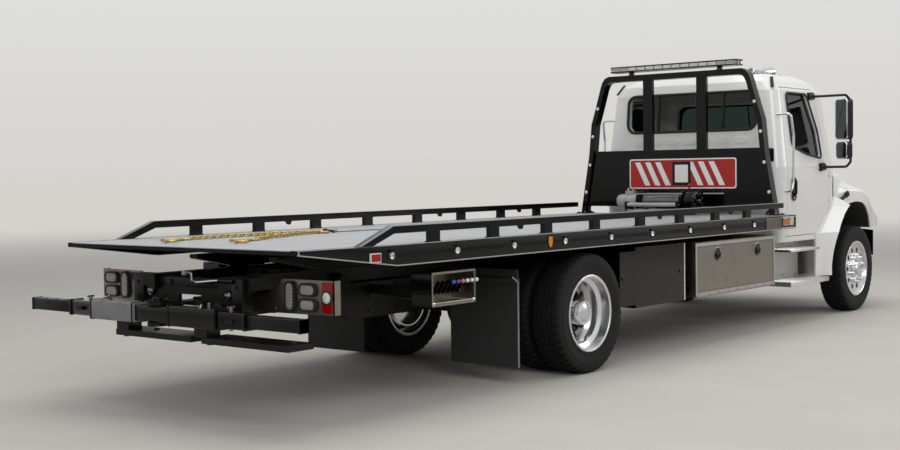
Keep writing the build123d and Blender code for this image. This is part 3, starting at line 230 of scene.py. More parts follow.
@dataclass(frozen=True)
class Enamel(Finish):
    """Sprayed enamel: a hard gloss with faint orange peel, dusty low down where the wheels throw dirt."""

    dirt: str = "6E665A"
    dirt_share: float = 0.35
    peel_mm: float = 0.05

    def dress(self, coat: Coat) -> None:
        """Add orange peel, patches of dust and road film near the ground.

        Args:
            coat: The material being made.
        """
        patches = self.cloud(coat, 2.2, 0.07)
        # Real orange peel is 2 mm across; 9 mm is the finest that shows.
        peel = add_node(coat.tree, "ShaderNodeTexNoise",
                        {"Vector": coat.spot, "Scale": 110.0, "Detail": 2.0})
        self.bump(coat, peel.outputs["Fac"], self.peel_mm)
        parts = add_node(coat.tree, "ShaderNodeSeparateXYZ", {"Vector": coat.spot})
        lowness = add_node(coat.tree, "ShaderNodeMapRange", {
            "Value": parts.outputs["Z"], "From Min": 1.25, "From Max": 0.35, "To Min": 0.0, "To Max": 1.0})
        film = add_node(coat.tree, "ShaderNodeMath",
                        {0: lowness.outputs["Result"], 1: patches}, operation="MULTIPLY")
        self.tint(coat, film.outputs["Value"], self.dirt, 0.1, 1.0 / max(self.dirt_share, 0.01))


@dataclass(frozen=True)
class BrushedSheet(Finish):
    """Sheet metal brushed one way: long fine lines, handling smears and a satin sheen."""

    grain: Grain = Grain.ALONG
    stain: str = "6F675C"
    stain_share: float = 0.5

    def dress(self, coat: Coat) -> None:
        """Add brush lines, blotches of oxide and drip stains.

        Args:
            coat: The material being made.
        """
        patches = self.cloud(coat, 4.0, 0.1)
        stretch = add_node(coat.tree, "ShaderNodeVectorMath",
                           {0: coat.spot, 1: self.grain.value}, operation="MULTIPLY")
        # Brush lines are 0.2 mm apart; 4 mm is the finest that shows.
        lines = add_node(coat.tree, "ShaderNodeTexNoise",
                         {"Vector": stretch.outputs[0], "Scale": 4.0, "Detail": 5.0, "Roughness": 0.7})
        self.bump(coat, lines.outputs["Fac"], 0.12)
        self.tint(coat, lines.outputs["Fac"], self.stain, 0.45, 1.6)
        self.tint(coat, patches, self.stain, 0.5, 0.5 + 0.5 / max(self.stain_share, 0.01))


@dataclass(frozen=True)
class RoughMetal(Finish):
    """Cast, forged or hot-rolled metal: pitted skin with dust in its hollows."""

    grit_mm: float = 3.0
    depth_mm: float = 0.4
    dust: str = "5C554B"

    def dress(self, coat: Coat) -> None:
        """Add the pitted skin and the dust.

        Args:
            coat: The material being made.
        """
        patches = self.cloud(coat, 5.0, 0.12)
        grit = add_node(coat.tree, "ShaderNodeTexNoise",
                        {"Vector": coat.spot, "Scale": 1.0 / (self.grit_mm * MILLI), "Detail": 4.0})
        self.bump(coat, grit.outputs["Fac"], self.depth_mm)
        self.tint(coat, patches, self.dust, 0.45, 1.1)


@dataclass(frozen=True)
class Rubber(Finish):
    """Moulded rubber: matt black, grey with dust, with a fine mould grain."""

    dust: str = "4A453E"

    def dress(self, coat: Coat) -> None:
        """Add the grain and the dust.

        Args:
            coat: The material being made.
        """
        patches = self.cloud(coat, 7.0, 0.08)
        grain = add_node(coat.tree, "ShaderNodeTexNoise",
                         {"Vector": coat.spot, "Scale": 260.0, "Detail": 3.0})
        self.bump(coat, grain.outputs["Fac"], 0.15)
        self.tint(coat, patches, self.dust, 0.42, 1.2)


@dataclass(frozen=True)
class Cloth(Finish):
    """Woven seat cloth: crossed threads 2 mm apart, drawn 5 mm apart so that they show."""

    thread_mm: float = 5.0

    def dress(self, coat: Coat) -> None:
        """Add the weave and soft wear.

        Args:
            coat: The material being made.
        """
        self.cloud(coat, 5.0, 0.06)
        scale = 1.0 / (self.thread_mm * MILLI) / 2
        warp = add_node(coat.tree, "ShaderNodeTexWave",
                        {"Vector": coat.spot, "Scale": scale}, bands_direction="X")
        weft = add_node(coat.tree, "ShaderNodeTexWave",
                        {"Vector": coat.spot, "Scale": scale}, bands_direction="Z")
        weave = add_node(coat.tree, "ShaderNodeMath", {0: warp.outputs["Fac"], 1: weft.outputs["Fac"]},
                         operation="MULTIPLY")
        self.bump(coat, weave.outputs["Value"], 0.5)
        self.tint(coat, weave.outputs["Value"], "101113", 0.0, 2.0)


@dataclass(frozen=True)
class Glass(Finish):
    """Float or moulded glass: clear or tinted, with a faint film of dust."""

    see_through: float = 1.0

    def dress(self, coat: Coat) -> None:
        """Let light through and add the film.

        Args:
            coat: The material being made.
        """
        coat.shader.inputs["Transmission Weight"].default_value = self.see_through
        coat.shader.inputs["IOR"].default_value = 1.5
        self.cloud(coat, 3.0, 0.02)


# Two-pack white: a hard clear gloss that mirrors sky and ground softly.
WHITE_ENAMEL = Enamel("white_enamel", "E6E6E3", 0.2, dirt="A79F92", dirt_share=0.45,
                      extras=(("Coat Weight", 0.4), ("Coat Roughness", 0.06)))
# Gloss black: sharp pale reflections on a body that stays near black.
BLACK_ENAMEL = Enamel("black_enamel", "040405", 0.16, dirt="15130F", dirt_share=0.3, peel_mm=0.06,
                      extras=(("Specular IOR Level", 0.22), ("Coat Weight", 0.12),
                              ("Coat Roughness", 0.06)))
# Chassis black: duller, with road film in it.
FRAME_ENAMEL = Enamel("frame_enamel", "070707", 0.38, extras=(("Specular IOR Level", 0.25),), dirt="211D18",
                      dirt_share=0.5, peel_mm=0.1)
# Painted highlight: pale grey, dry strips on beam, rail and panel edges that stand in for light caught
# there.
PAINTED_HIGHLIGHT_EDGE = Enamel("painted_highlight_grey_edge", "9A9B9B", 0.45, dirt="6E665A", dirt_share=0.6)
# Paint scraped by tyres and chains: flat grey patches.
SCUFFED_GREY = RoughMetal("scuffed_grey_paint", "7C7C7E", 0.5, 0.1, grit_mm=9.0,
                          depth_mm=0.2, dust="1B1A19")
# Mill-finish aluminium: fine lengthwise lines, light grey.
DECK_METAL = BrushedSheet("mill_finish_aluminium_deck", "AAACAE", 0.5, 0.7, stain="8D8C8A", stain_share=0.6)
# Brushed aluminium: upright lines and brown handling stains.
BRUSHED_ALUMINIUM = BrushedSheet("brushed_aluminium_sheet", "8D877E", 0.33, 1.0, grain=Grain.UPRIGHT,
                                 stain="665D52", stain_share=0.7)
# Step plate: brighter where boots keep it clean.
STEP_ALUMINIUM = BrushedSheet("step_aluminium", "B5B3AE", 0.36, 0.95, stain="77736C")
# Forged wheel aluminium: near mirror.
POLISHED_ALUMINIUM = Finish("polished_aluminium", "D3D1CB", 0.13, 1.0)
# Brushed stainless: warm grey sheen.
STAINLESS = BrushedSheet("brushed_stainless", "8F897D", 0.3, 1.0, stain="5E574C")
# Chrome: a mirror.
CHROME = Finish("chrome_plate", "DADCDE", 0.05, 1.0)
# Cast iron: black-brown, pitted, dull.
CAST_IRON = RoughMetal("cast_iron", "1D1D1F", 0.6, 0.3, grit_mm=4.0)
# Grey painted casting: the winch motor and its rollers.
GREY_CASTING = RoughMetal("grey_painted_casting", "9B9C9B", 0.42, 0.2, grit_mm=5.0,
                          depth_mm=0.15, dust="6C6860")
# Rolled spring steel: dark scale.
SPRING_STEEL = RoughMetal("spring_steel", "232325", 0.55, 0.5, grit_mm=6.0, depth_mm=0.3)
# Aluminised pipe: heat-browned grey.
PIPE_STEEL = RoughMetal("aluminised_pipe", "77736B", 0.5, 0.8, grit_mm=5.0, depth_mm=0.15, dust="6B5B48")
# Tyre rubber: charcoal, matt, dusty.
TYRE_RUBBER = Rubber("tyre_rubber", "0C0C0D", 0.76, extras=(("Specular IOR Level", 0.3),), dust="2A2723")
# Sheet rubber: blacker, a low sheen.
FLAP_RUBBER = Rubber("flap_rubber", "08080A", 0.55, extras=(("Specular IOR Level", 0.3),), dust="1B1916")
# Seat cloth: charcoal weave with a soft bloom.
SEAT_CLOTH = Cloth("woven_seat_cloth", "35373B", 0.9, extras=(("Sheen Weight", 0.3),))
# Grained plastic: leather-like moulding, no shine.
DASH_PLASTIC = RoughMetal("grained_dash_plastic", "2B2C2F", 0.6, grit_mm=2.5, depth_mm=0.2, dust="36373A")
# Smooth black moulding: a dull gleam.
BLACK_PLASTIC = Finish("moulded_black_plastic", "08090A", 0.32, extras=(("Specular IOR Level", 0.3),))
# White lamp moulding: slightly grey, half gloss.
LAMP_BODY = Finish("white_lamp_moulding", "DCDCD8", 0.3)
# Tinted safety glass: green-black from outside, see-through up close.
TINTED_GLASS = Glass("tinted_glass", "2F3B38", 0.03)
# Mirror glass: silvered, seen dark under a dull sky.
MIRROR_GLASS = Finish("mirror_glass", "5A6266", 0.03, 1.0)
# Bright wire: drawn steel, greasy grey.
ROPE_STEEL = RoughMetal("bright_wire", "8B8B8C", 0.35, 1.0, grit_mm=2.0, depth_mm=0.1)
# Yellow zinc plate: brassy, with a red-green cast in places.
ZINC_YELLOW = RoughMetal("yellow_zinc_plate", "B59A55", 0.35, 1.0, grit_mm=6.0, depth_mm=0.1, dust="8A6A3A")
# Coloured lamp glass: glows where light passes through.
AMBER_LENS = Glass("amber_lens", "F08A1C", 0.12, see_through=0.55)
RED_LENS = Glass("red_lens", "B01410", 0.12, see_through=0.35)
CLEAR_LENS = Glass("clear_lens", "F4F4F0", 0.08, see_through=0.85)
SMOKED_LENS = Glass("smoked_clear_lens", "C4C4BE", 0.14, see_through=0.4)
WHITE_LENS = Finish("white_lamp_glass", "E4E4DF", 0.16, extras=(("Coat Weight", 0.5),))
# Prism reflectors: flat colour with a hard clear face.
AMBER_REFLECTOR = Finish("amber_reflector", "D8791A", 0.18, extras=(("Coat Weight", 0.6),))
REFLECTOR_WHITE = Finish("white_reflector", "D6D6D2", 0.2, extras=(("Coat Weight", 0.6),))
# Board film: printed vinyl, half gloss.
BOARD_WHITE = Enamel("white_board_film", "DEDEDA", 0.3, dirt="9A948A", dirt_share=0.3)
BOARD_RED = Enamel("red_board_film", "A01712", 0.3, dirt="5C2A22", dirt_share=0.3)
# Lever knobs: turned plastic balls, each its own colour.
KNOB_BLUE = Finish("blue_knob", "2A5BB0", 0.25)
KNOB_PURPLE = Finish("purple_knob", "6A3F9C", 0.25)
KNOB_PINK = Finish("pink_knob", "D8668C", 0.25)
KNOB_WHITE = Finish("white_knob", "DDDDD6", 0.25)

NODE_FINISHES: dict[str, Finish] = {
    "chassis_frame": FRAME_ENAMEL, "front_axle": CAST_IRON, "rear_axle": CAST_IRON,
    "leaf_springs": SPRING_STEEL, "powertrain": CAST_IRON, "tanks": BLACK_ENAMEL, "exhaust": PIPE_STEEL,
    "front_bumper": BLACK_ENAMEL, "tow_eyes": FRAME_ENAMEL, "cab_shell": WHITE_ENAMEL,
    "cab_glass": TINTED_GLASS,
    "seats": SEAT_CLOTH, "dashboard": DASH_PLASTIC, "cab_steps": STEP_ALUMINIUM, "grab_handles": CHROME,
    "mud_flaps": FLAP_RUBBER, "control_stations": STAINLESS, "tool_boxes": BRUSHED_ALUMINIUM,
    "cab_fairings": WHITE_ENAMEL, "wheel_liners": FLAP_RUBBER,
    "hood": WHITE_ENAMEL, "grille": BLACK_PLASTIC, "headlamps": CLEAR_LENS, "tilt_frame": FRAME_ENAMEL,
    "lamp_panels": STAINLESS, "bed_deck": DECK_METAL, "bed_frame": BLACK_ENAMEL, "side_rails": BLACK_ENAMEL,
    "headboard": BLACK_ENAMEL, "lightbar": AMBER_LENS, "winch": BLACK_ENAMEL, "winch_rope": ROPE_STEEL,
    "chain_bridle": ZINC_YELLOW, "lift_boom": FRAME_ENAMEL, "inner_boom": FRAME_ENAMEL,
    "crossbar": FRAME_ENAMEL, "wheel_arms": FRAME_ENAMEL, "door": WHITE_ENAMEL, "door_glass": TINTED_GLASS,
    "mirror": BLACK_PLASTIC, "knuckle": CAST_IRON, "front_rim": POLISHED_ALUMINIUM,
    "front_tyre": TYRE_RUBBER, "rear_rims": POLISHED_ALUMINIUM, "rear_tyres": TYRE_RUBBER,
    "tool_box_door": BRUSHED_ALUMINIUM, "tilt_barrel": FRAME_ENAMEL, "tilt_rod": CHROME,
}


def rounded(wide: float, high: float, corner: float, steps: int = 4,
            about: tuple[float, float] = (0.0, 0.0)) -> list[tuple[float, float]]:
    """Give a rectangle with round corners.

    Args:
        wide: Its first side.
        high: Its second side.
        corner: The radius of its corners.
        steps: Facets to a corner.
        about: Its middle.

    Returns:
        Its points, anticlockwise.
    """
    points = []
    for turn, (right, up) in enumerate(((1, 1), (-1, 1), (-1, -1), (1, -1))):
        middle = (right * (wide / 2 - corner), up * (high / 2 - corner))
        for i in range(steps + 1):
            angle = math.pi / 2 * (turn + i / steps)
            points.append((about[0] + (middle[0] + corner * math.cos(angle)),
                           about[1] + (middle[1] + corner * math.sin(angle))))
    return points


def mix(low: float, high: float, share: float) -> float:
    """Give the value a share of the way from low to high."""
    return low + (high - low) * share


class Form:
    """One piece's mesh in millimetres of the drawing, grown from solids that each carry a finish."""

    def __init__(self, name: str) -> None:
        """Start an empty mesh under the piece's name.

        Args:
            name: The name of the piece.
        """
        self.name = name
        self.shape = bmesh.new()
        self.finishes: list[Finish] = []

    def paint(self, faces: Iterable[bmesh.types.BMFace], finish: Finish, smooth: bool = True) -> None:
        """Give some faces their finish.

        Args:
            faces: The faces.
            finish: Their finish.
            smooth: Whether they shade smoothly.
        """
        if finish not in self.finishes:
            self.finishes.append(finish)
        number = self.finishes.index(finish)
        for face in faces:
            face.material_index = number
            face.smooth = smooth

    def soften(self, verts: Sequence[bmesh.types.BMVert], width: float, steps: int = 2) -> None:
        """Round the sharp edges among some vertices.

        Args:
            verts: The vertices.
            width: How far each rounding reaches.
            steps: Facets to a rounding.
        """
        chosen = set(verts)
        edges = [edge for edge in {e for v in verts for e in v.link_edges}
                 if edge.verts[0] in chosen and edge.verts[1] in chosen and len(edge.link_faces) == 2
                 and edge.calc_face_angle(0.0) > SHARP_EDGE]
        if edges:
            bmesh.ops.bevel(self.shape, geom=edges, offset=width, segments=steps,
                            profile=0.5, affect="EDGES", clamp_overlap=True)

    def loft(self, rings: Sequence[Sequence[Point]], finish: Finish, closed: bool = True, caps: bool = True,
             looped: bool = False) -> list[bmesh.types.BMVert]:
        """Skin a row of rings that have equal counts of points.

        Args:
            rings: The rings in order.
            finish: The finish of the skin.
            closed: Whether each ring closes on itself.
            caps: Whether the first and last rings are filled.
            looped: Whether the last ring joins the first.

        Returns:
            The new vertices.
        """
        rows = [[self.shape.verts.new(point) for point in ring] for ring in rings]
        faces = []
        count = len(rows[0])
        pairs = list(zip(rows, rows[1:])) + ([(rows[-1], rows[0])] if looped else [])
        for one, two in pairs:
            for i in range(count if closed else count - 1):
                j = (i + 1) % count
                faces.append(self.shape.faces.new((one[i], one[j], two[j], two[i])))
        if caps and closed and not looped:
            faces.append(self.shape.faces.new(list(reversed(rows[0]))))
            faces.append(self.shape.faces.new(rows[-1]))
        self.paint(faces, finish)
        return [vert for row in rows for vert in row]

    def plate(self, outline: Flat, axis: str, span: tuple[float, float], finish: Finish,
              bevel: float = 0.0) -> None:
        """Carry an outline along one axis.

        Args:
            outline: Its corners: (y, z) for axis X, (x, z) for Y, (x, y) for Z.
            axis: The axis across the plate, X, Y or Z.
            span: Its two faces along that axis.
            finish: Its finish.
            bevel: The rounding of its edges.
        """
        verts = self.loft([[PLANES[axis](a, b, c) for a, b in outline] for c in span], finish)
        if bevel:
            self.soften(verts, bevel)

    def box(self, low: Point, high: Point, finish: Finish, bevel: float = 2.0) -> None:
        """Add a box between two corners with rounded edges."""
        outline = [(low[0], low[1]), (high[0], low[1]), (high[0], high[1]), (low[0], high[1])]
        self.plate(outline, "Z", (low[2], high[2]), finish, bevel)

    def side_box(self, side: int, low: Point, high: Point, finish: Finish, bevel: float = 2.0) -> None:
        """Add a box whose Y values count outward from the middle, on one side."""
        near, far = sorted((side * low[1], side * high[1]))
        self.box((low[0], near, low[2]), (high[0], far, high[2]), finish, bevel)

    def hoop(self, outer: Flat, inner: Flat, axis: str, span: tuple[float, float], finish: Finish,
             bevel: float = 0.0) -> None:
        """Carry a flat ring, an outline less a smaller one of as many points, along one axis.

        Args:
            outer: The outer outline.
            inner: The inner outline.
            axis: The axis that it is carried along, X, Y or Z.
            span: Its two faces along that axis.
            finish: Its finish.
            bevel: The rounding of its edges.
        """
        rows = [(outer, span[0]), (outer, span[1]), (inner, span[1]), (inner, span[0])]
        verts = self.loft([[PLANES[axis](a, b, c) for a, b in line] for line, c in rows], finish,
                          looped=True)
        if bevel:
            self.soften(verts, bevel, 1)

    def stack(self, rows: Sequence[tuple[float, float, float, float, float]], corner: float,
              finish: Finish) -> None:
        """Loft boxes with round corners along X, through rows of (x, low y, high y, low z, high z).

        Args:
            rows: The places along X with each section's limits.
            corner: The radius of its corners.
            finish: Its finish.
        """
        rings = []
        for x, y_low, y_high, z_low, z_high in rows:
            rings.append([(x, (y_low + y_high) / 2 + a, (z_low + z_high) / 2 + b)
                          for a, b in rounded(y_high - y_low, z_high - z_low, corner, 3)])
        self.loft(rings, finish)

    def beam(self, start: Point, end: Point, wide: float, high: float, corner: float, finish: Finish,
             up: Point = (0.0, 0.0, 1.0)) -> None:
        """Add a straight bar of round-cornered section between two points.

        Args:
            start: One end.
            end: The other end.
            wide: Its width.
            high: Its height.
            corner: The radius of its corners.
            finish: Its finish.
            up: The way its height leans.
        """
        start, end = Vector(start), Vector(end)
        ahead = (end - start).normalized()
        across = ahead.cross(Vector(up)).normalized()
        above = across.cross(ahead)
        rim = min(corner, 3.0)
        rings = []
        for place, trim in ((start, rim), (start + ahead * rim, 0.0), (end - ahead * rim, 0.0), (end, rim)):
            rings.append([place + across * a + above * b
                          for a, b in rounded(wide - trim, high - trim, max(corner - trim / 2, 0.5), 3)])
        self.loft(rings, finish)

    def lathe(self, profile: Flat, centre: Point, axis: Point, finish: Finish, sides: int = 28,
              hollow: bool = False) -> None:
        """Turn a profile of (radius, distance along) points round an axis.

        Args:
            profile: The points.
            centre: The point at distance 0.
            axis: The direction of the axis.
            finish: Its finish.
            sides: Facets round the axis.
            hollow: Whether the profile is a loop, which makes a ring.
        """
        turn = Vector(axis).normalized().to_track_quat("Z", "Y").to_matrix()
        rings = []
        for radius, along in profile:
            size = max(radius, 0.05)
            rings.append([turn @ Vector((size * math.cos(math.tau * i / sides),
                                         size * math.sin(math.tau * i / sides),
                                         along)) + Vector(centre) for i in range(sides)])
        self.loft(rings, finish, looped=hollow)

    def rod(self, start: Point, end: Point, radius: float, finish: Finish, sides: int = 14) -> None:
        """Add a round bar with broken rims between two points.

        Args:
            start: One end.
            end: The other end.
            radius: Its radius.
            finish: Its finish.
            sides: Facets round it.
        """
        start, end = Vector(start), Vector(end)
        length = (end - start).length
        rim = min(radius, length) * 0.14
        self.lathe([(radius - rim, 0.0), (radius, rim), (radius, length - rim), (radius - rim, length)],
                   start, end - start, finish, sides)

    def bolt(self, place: Point, axis: Point, radius: float, finish: Finish) -> None:
        """Add a washer with a hexagon head on it."""
        self.lathe([(radius * 1.25, -0.5), (radius * 1.25, radius * 0.18), (radius, radius * 0.2)], place,
                   axis, finish, 16)
        self.lathe([(radius, radius * 0.18), (radius, radius * 0.7), (radius * 0.8, radius * 0.85)], place,
                   axis, finish, 6)

    def path_frames(self, points: Sequence[Point],
                    closed: bool = False) -> list[tuple[Vector, Vector, Vector]]:
        """Give a place and two cross directions for each point of a line, without twist.

        Args:
            points: The line's points.
            closed: Whether the line closes on itself.

        Returns:
            The place and the two directions, point by point.
        """
        path = [Vector(point) for point in points]
        count = len(path)
        frames = []
        normal = None
        for i, point in enumerate(path):
            before = path[i - 1] if i or closed else point
            after = path[(i + 1) % count] if i < count - 1 or closed else point
            ahead = (after - before).normalized()
            if normal is None:
                normal = ahead.orthogonal().normalized()
            normal = (normal - ahead * normal.dot(ahead)).normalized()
            frames.append((point, normal.copy(), ahead.cross(normal)))
        return frames

    def pipe(self, points: Sequence[Point], radius: float, finish: Finish, sides: int = 10,
             closed: bool = False) -> None:
        """Sweep a round section along a line of points."""
        rings = [[place + radius * (math.cos(math.tau * k / sides) * normal
                                    + math.sin(math.tau * k / sides) * across) for k in range(sides)]
                 for place, normal, across in self.path_frames(points, closed)]
        self.loft(rings, finish, looped=closed)

    def bent(self, points: Sequence[Point], radius: float, finish: Finish, corner: float,
             sides: int = 10) -> None:
        """Sweep a round section along straight runs with rounded corners.

        Args:
            points: The line's points.
            radius: Its radius.
            finish: Its finish.
            corner: How far each rounding reaches.
            sides: Facets round it.
        """
        path = [Vector(point) for point in points]
        line = [path[0]]
        for before, here, after in zip(path, path[1:], path[2:]):
            reach = min(corner, (before - here).length * 0.45, (after - here).length * 0.45)
            one = here + (before - here).normalized() * reach
            two = here + (after - here).normalized() * reach
            line += [one.lerp(here, t).lerp(here.lerp(two, t), t) for t in (0.0, 0.2, 0.4, 0.6, 0.8, 1.0)]
        self.pipe(line + [path[-1]], radius, finish, sides)

    def mirror(self) -> None:
        """Add the same mesh on the other side of the truck."""
        made = bmesh.ops.duplicate(self.shape,
                                   geom=self.shape.verts[:] + self.shape.edges[:] + self.shape.faces[:])
        verts = [part for part in made["geom"] if isinstance(part, bmesh.types.BMVert)]
        bmesh.ops.scale(self.shape, vec=Vector((1.0, -1.0, 1.0)), verts=verts)

    def build(self, body: str, slot: str, *replaces: str, flip: bool = False) -> bpy.types.Object:
        """Make the piece's object and tie it to a body of the truck.

        Args:
            body: The body that it rides on.
            slot: The record's material slot; not used.
            replaces: Nodes that it stands for.
            flip: Whether it goes to the right-hand side.

        Returns:
            The object.
        """
        if flip:
            bmesh.ops.scale(self.shape, vec=Vector((1.0, -1.0, 1.0)), verts=self.shape.verts[:])
        bmesh.ops.transform(self.shape, matrix=TO_FRAME, verts=self.shape.verts[:])
        bmesh.ops.recalc_face_normals(self.shape, faces=self.shape.faces[:])
        mesh = bpy.data.meshes.new(self.name)
        self.shape.to_mesh(mesh)
        self.shape.free()
        mesh.set_sharp_from_angle(angle=CREASE)
        for finish in self.finishes:
            mesh.materials.append(finish.material())
        thing = bpy.data.objects.new(self.name, mesh)
        bpy.context.scene.collection.objects.link(thing)
        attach(thing, body)
        if replaces:
            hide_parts(*replaces)
        LOG.info("piece %s: %d faces on %s", self.name, len(mesh.polygons), body)
        return thing


@dataclass
class Tyre:
    """A radial tyre: five ribs cut by sipes, lugged shoulders and raised rings on its side walls."""

    pitches: int = 46
    # Across, radius, then how far the point drops in a shoulder slot and in a rib sipe.
    half_section: tuple[tuple[float, float, float, float], ...] = (
        (103, 287, 0, 0), (103, 299.5, 0, 0), (112, 301, 0, 0), (117, 309, 0, 0), (118.5, 318, 0, 0),
        (117, 322, 0, 0), (120, 336, 0, 0), (125, 356, 0, 0), (127.3, 374, 0, 0), (129, 387, 0, 0),
        (129, 394, 0, 0), (127.2, 396, 0, 0), (126, 412, 0, 0), (124.5, 426, 0, 0), (122, 443, 9, 0),
        (117, 453, 12, 0), (109.5, 459.5, 13, 0), (72, 463.4, 12, 0), (71.5, 451, 0, 0), (61, 451, 0, 0),
        (60.5, 463.9, 0, 9), (28.5, 464.8, 0, 9), (28, 452, 0, 0), (17.5, 452, 0, 0), (17, 465, 0, 7))
    # Place along a pitch, then whether the slot and the sipe are open there.
    slots: tuple[tuple[float, int, int], ...] = (
        (0.0, 1, 0), (0.11, 1, 0), (0.13, 0, 0), (0.5, 0, 1), (0.56, 0, 1), (0.58, 0, 0))

    def add(self, form: Form, x: float, y: float, sign: int) -> None:
        """Add one tyre at a wheel's place.

        Args:
            form: The mesh of the piece.
            x: Its place along the truck.
            y: Its distance left of the middle.
            sign: 1 on the left, -1 on the right.
        """
        section = list(self.half_section) + [(-a, r, s, t) for a, r, s, t in reversed(self.half_section)]
        rings = []
        for pitch in range(self.pitches):
            for share, slot, sipe in self.slots:
                angle = math.tau * (pitch + share) / self.pitches
                rings.append([(x + (r - slot * s - sipe * t) * math.cos(angle), y + a * sign,
                               AXLE_Z + (r - slot * s - sipe * t) * math.sin(angle))
                              for a, r, s, t in section])
        form.loft(rings, TYRE_RUBBER, looped=True)

    def build(self) -> None:
        """Make the six tyres."""
        for side, sign in SIDES.items():
            front = Form(f"front_tyre_tread_{side}")
            self.add(front, FRONT_AXLE, FRONT_WHEEL_Y * sign, sign)
            front.build(f"front_wheel_{side}", "tyre", f"front_tyre_{side}")
            rear = Form(f"rear_tyre_treads_{side}")
            for y in TWIN_WHEELS_Y:
                self.add(rear, 0.0, y * sign, sign)
            rear.build(f"rear_wheels_{side}", "tyre", f"rear_tyres_{side}")


@dataclass
class WheelTrim:
    """Nut covers, hub caps, rounded rim lips and valves on the wheels."""

    nuts: int = 10
    nut_circle: float = 142.9
    front_face: float = 1116.0
    rear_face: float = 992.0
    ring_bolts: int = 40

    def around(self, x: float, y: float, radius: float, step: float) -> Point:
        """Give a place on a circle round a wheel."""
        angle = math.tau * (step + 0.5) / self.nuts
        return (x + radius * math.cos(angle), y, AXLE_Z + radius * math.sin(angle))

    def lip(self, form: Form, x: float, y: float, out: float) -> None:
        """Roll the rim's edge over, with a machined step inside it."""
        form.lathe([(286.0, -14), (297.5, -9), (298.5, -2), (296, 4), (291, 5), (286, 1)], (x, y, AXLE_Z),
                   (0, out, 0), POLISHED_ALUMINIUM, 72, hollow=True)

    def valve(self, form: Form, x: float, y: float, out: float, angle: float) -> None:
        """Add a bright valve that leans out past the rim.

        Args:
            form: The mesh of the piece.
            x: Its place along the truck.
            y: Its distance left of the middle.
            out: 1 to the left, -1 to the right.
            angle: Its place round the wheel, in radians.
        """
        root = (x + 268 * math.cos(angle), y - out * 30, AXLE_Z + 268 * math.sin(angle))
        tip = (x + 280 * math.cos(angle), y + out * 16, AXLE_Z + 280 * math.sin(angle))
        form.rod(root, tip, 5.5, CHROME, 10)
        form.rod(Vector(tip), Vector(tip) + Vector((0, out * 16, 0)), 7.5, CHROME, 8)

    def front(self, side: str, sign: int) -> None:
        """Dress one front wheel.

        Args:
            side: The side's name.
            sign: 1 on the left, -1 on the right.
        """
        form = Form(f"front_wheel_trim_{side}")
        face = self.front_face
        for i in range(self.nuts):
            form.lathe([(23, -4), (23, 8), (19, 13), (17, 34), (10, 52), (2, 60)],
                       self.around(FRONT_AXLE, face * sign, self.nut_circle, i), (0, sign, 0), CHROME, 12)
        form.lathe([(98, -2), (98, 7), (84, 12), (79, 20), (77, 50), (70, 60), (40, 66), (0, 67)],
                   (FRONT_AXLE, face * sign, AXLE_Z), (0, sign, 0), CHROME, 40)
        form.lathe([(166, -4), (166, 1.5), (162, 3), (104, 3), (100, 1.5), (100, -4)],
                   (FRONT_AXLE, face * sign, AXLE_Z), (0, sign, 0), POLISHED_ALUMINIUM, 48, hollow=True)
        self.lip(form, FRONT_AXLE, 1137.0 * sign, sign)
        self.lip(form, FRONT_AXLE, 903.0 * sign, -sign)
        self.valve(form, FRONT_AXLE, 1130.0 * sign, sign, 2.2)
        form.build(f"front_wheel_{side}", "chrome")

    def rear(self, side: str, sign: int) -> None:
        """Dress one pair of rear wheels.

        Args:
            side: The side's name.
            sign: 1 on the left, -1 on the right.
        """
        form = Form(f"rear_wheel_trim_{side}")
        face = self.rear_face
        for i in range(self.nuts):
            place = self.around(0, face * sign, self.nut_circle, i)
            form.lathe([(24, -2), (24, 6), (19, 8)], place, (0, sign, 0), BLACK_PLASTIC, 14)
            form.lathe([(19, 6), (19, 30), (15, 34)], place, (0, sign, 0), BLACK_PLASTIC, 6)
            form.rod(place, Vector(place) + Vector((0, sign * 46, 0)), 10.5, CAST_IRON, 10)
        form.lathe([(112, -3), (112, 10), (104, 16), (98, 30), (97, 96), (92, 118),
                    (78, 136), (48, 148), (0, 152)],
                   (0, (face + 2) * sign, AXLE_Z), (0, sign, 0), CHROME, 48)
        form.lathe([(176, -3), (176, 5), (170, 8), (116, 8), (116, -3)], (0, face * sign, AXLE_Z),
                   (0, sign, 0), BLACK_PLASTIC, 48, hollow=True)
        for i in range(self.ring_bolts):
            turn = math.tau * i / self.ring_bolts
            place = (178 * math.cos(turn), (face + 1) * sign, AXLE_Z + 178 * math.sin(turn))
            form.lathe([(7, -2), (7, 7), (4, 9)], place, (0, sign, 0), BLACK_PLASTIC, 6)
        self.lip(form, 0, 1185.0 * sign, sign)
        self.lip(form, 0, 655.0 * sign, -sign)
        self.valve(form, 0, 1176.0 * sign, sign, 2.85)
        form.build(f"rear_wheels_{side}", "chrome")

    def build(self) -> None:
        """Dress every wheel."""
        for side, sign in SIDES.items():
            self.front(side, sign)
            self.rear(side, sign)


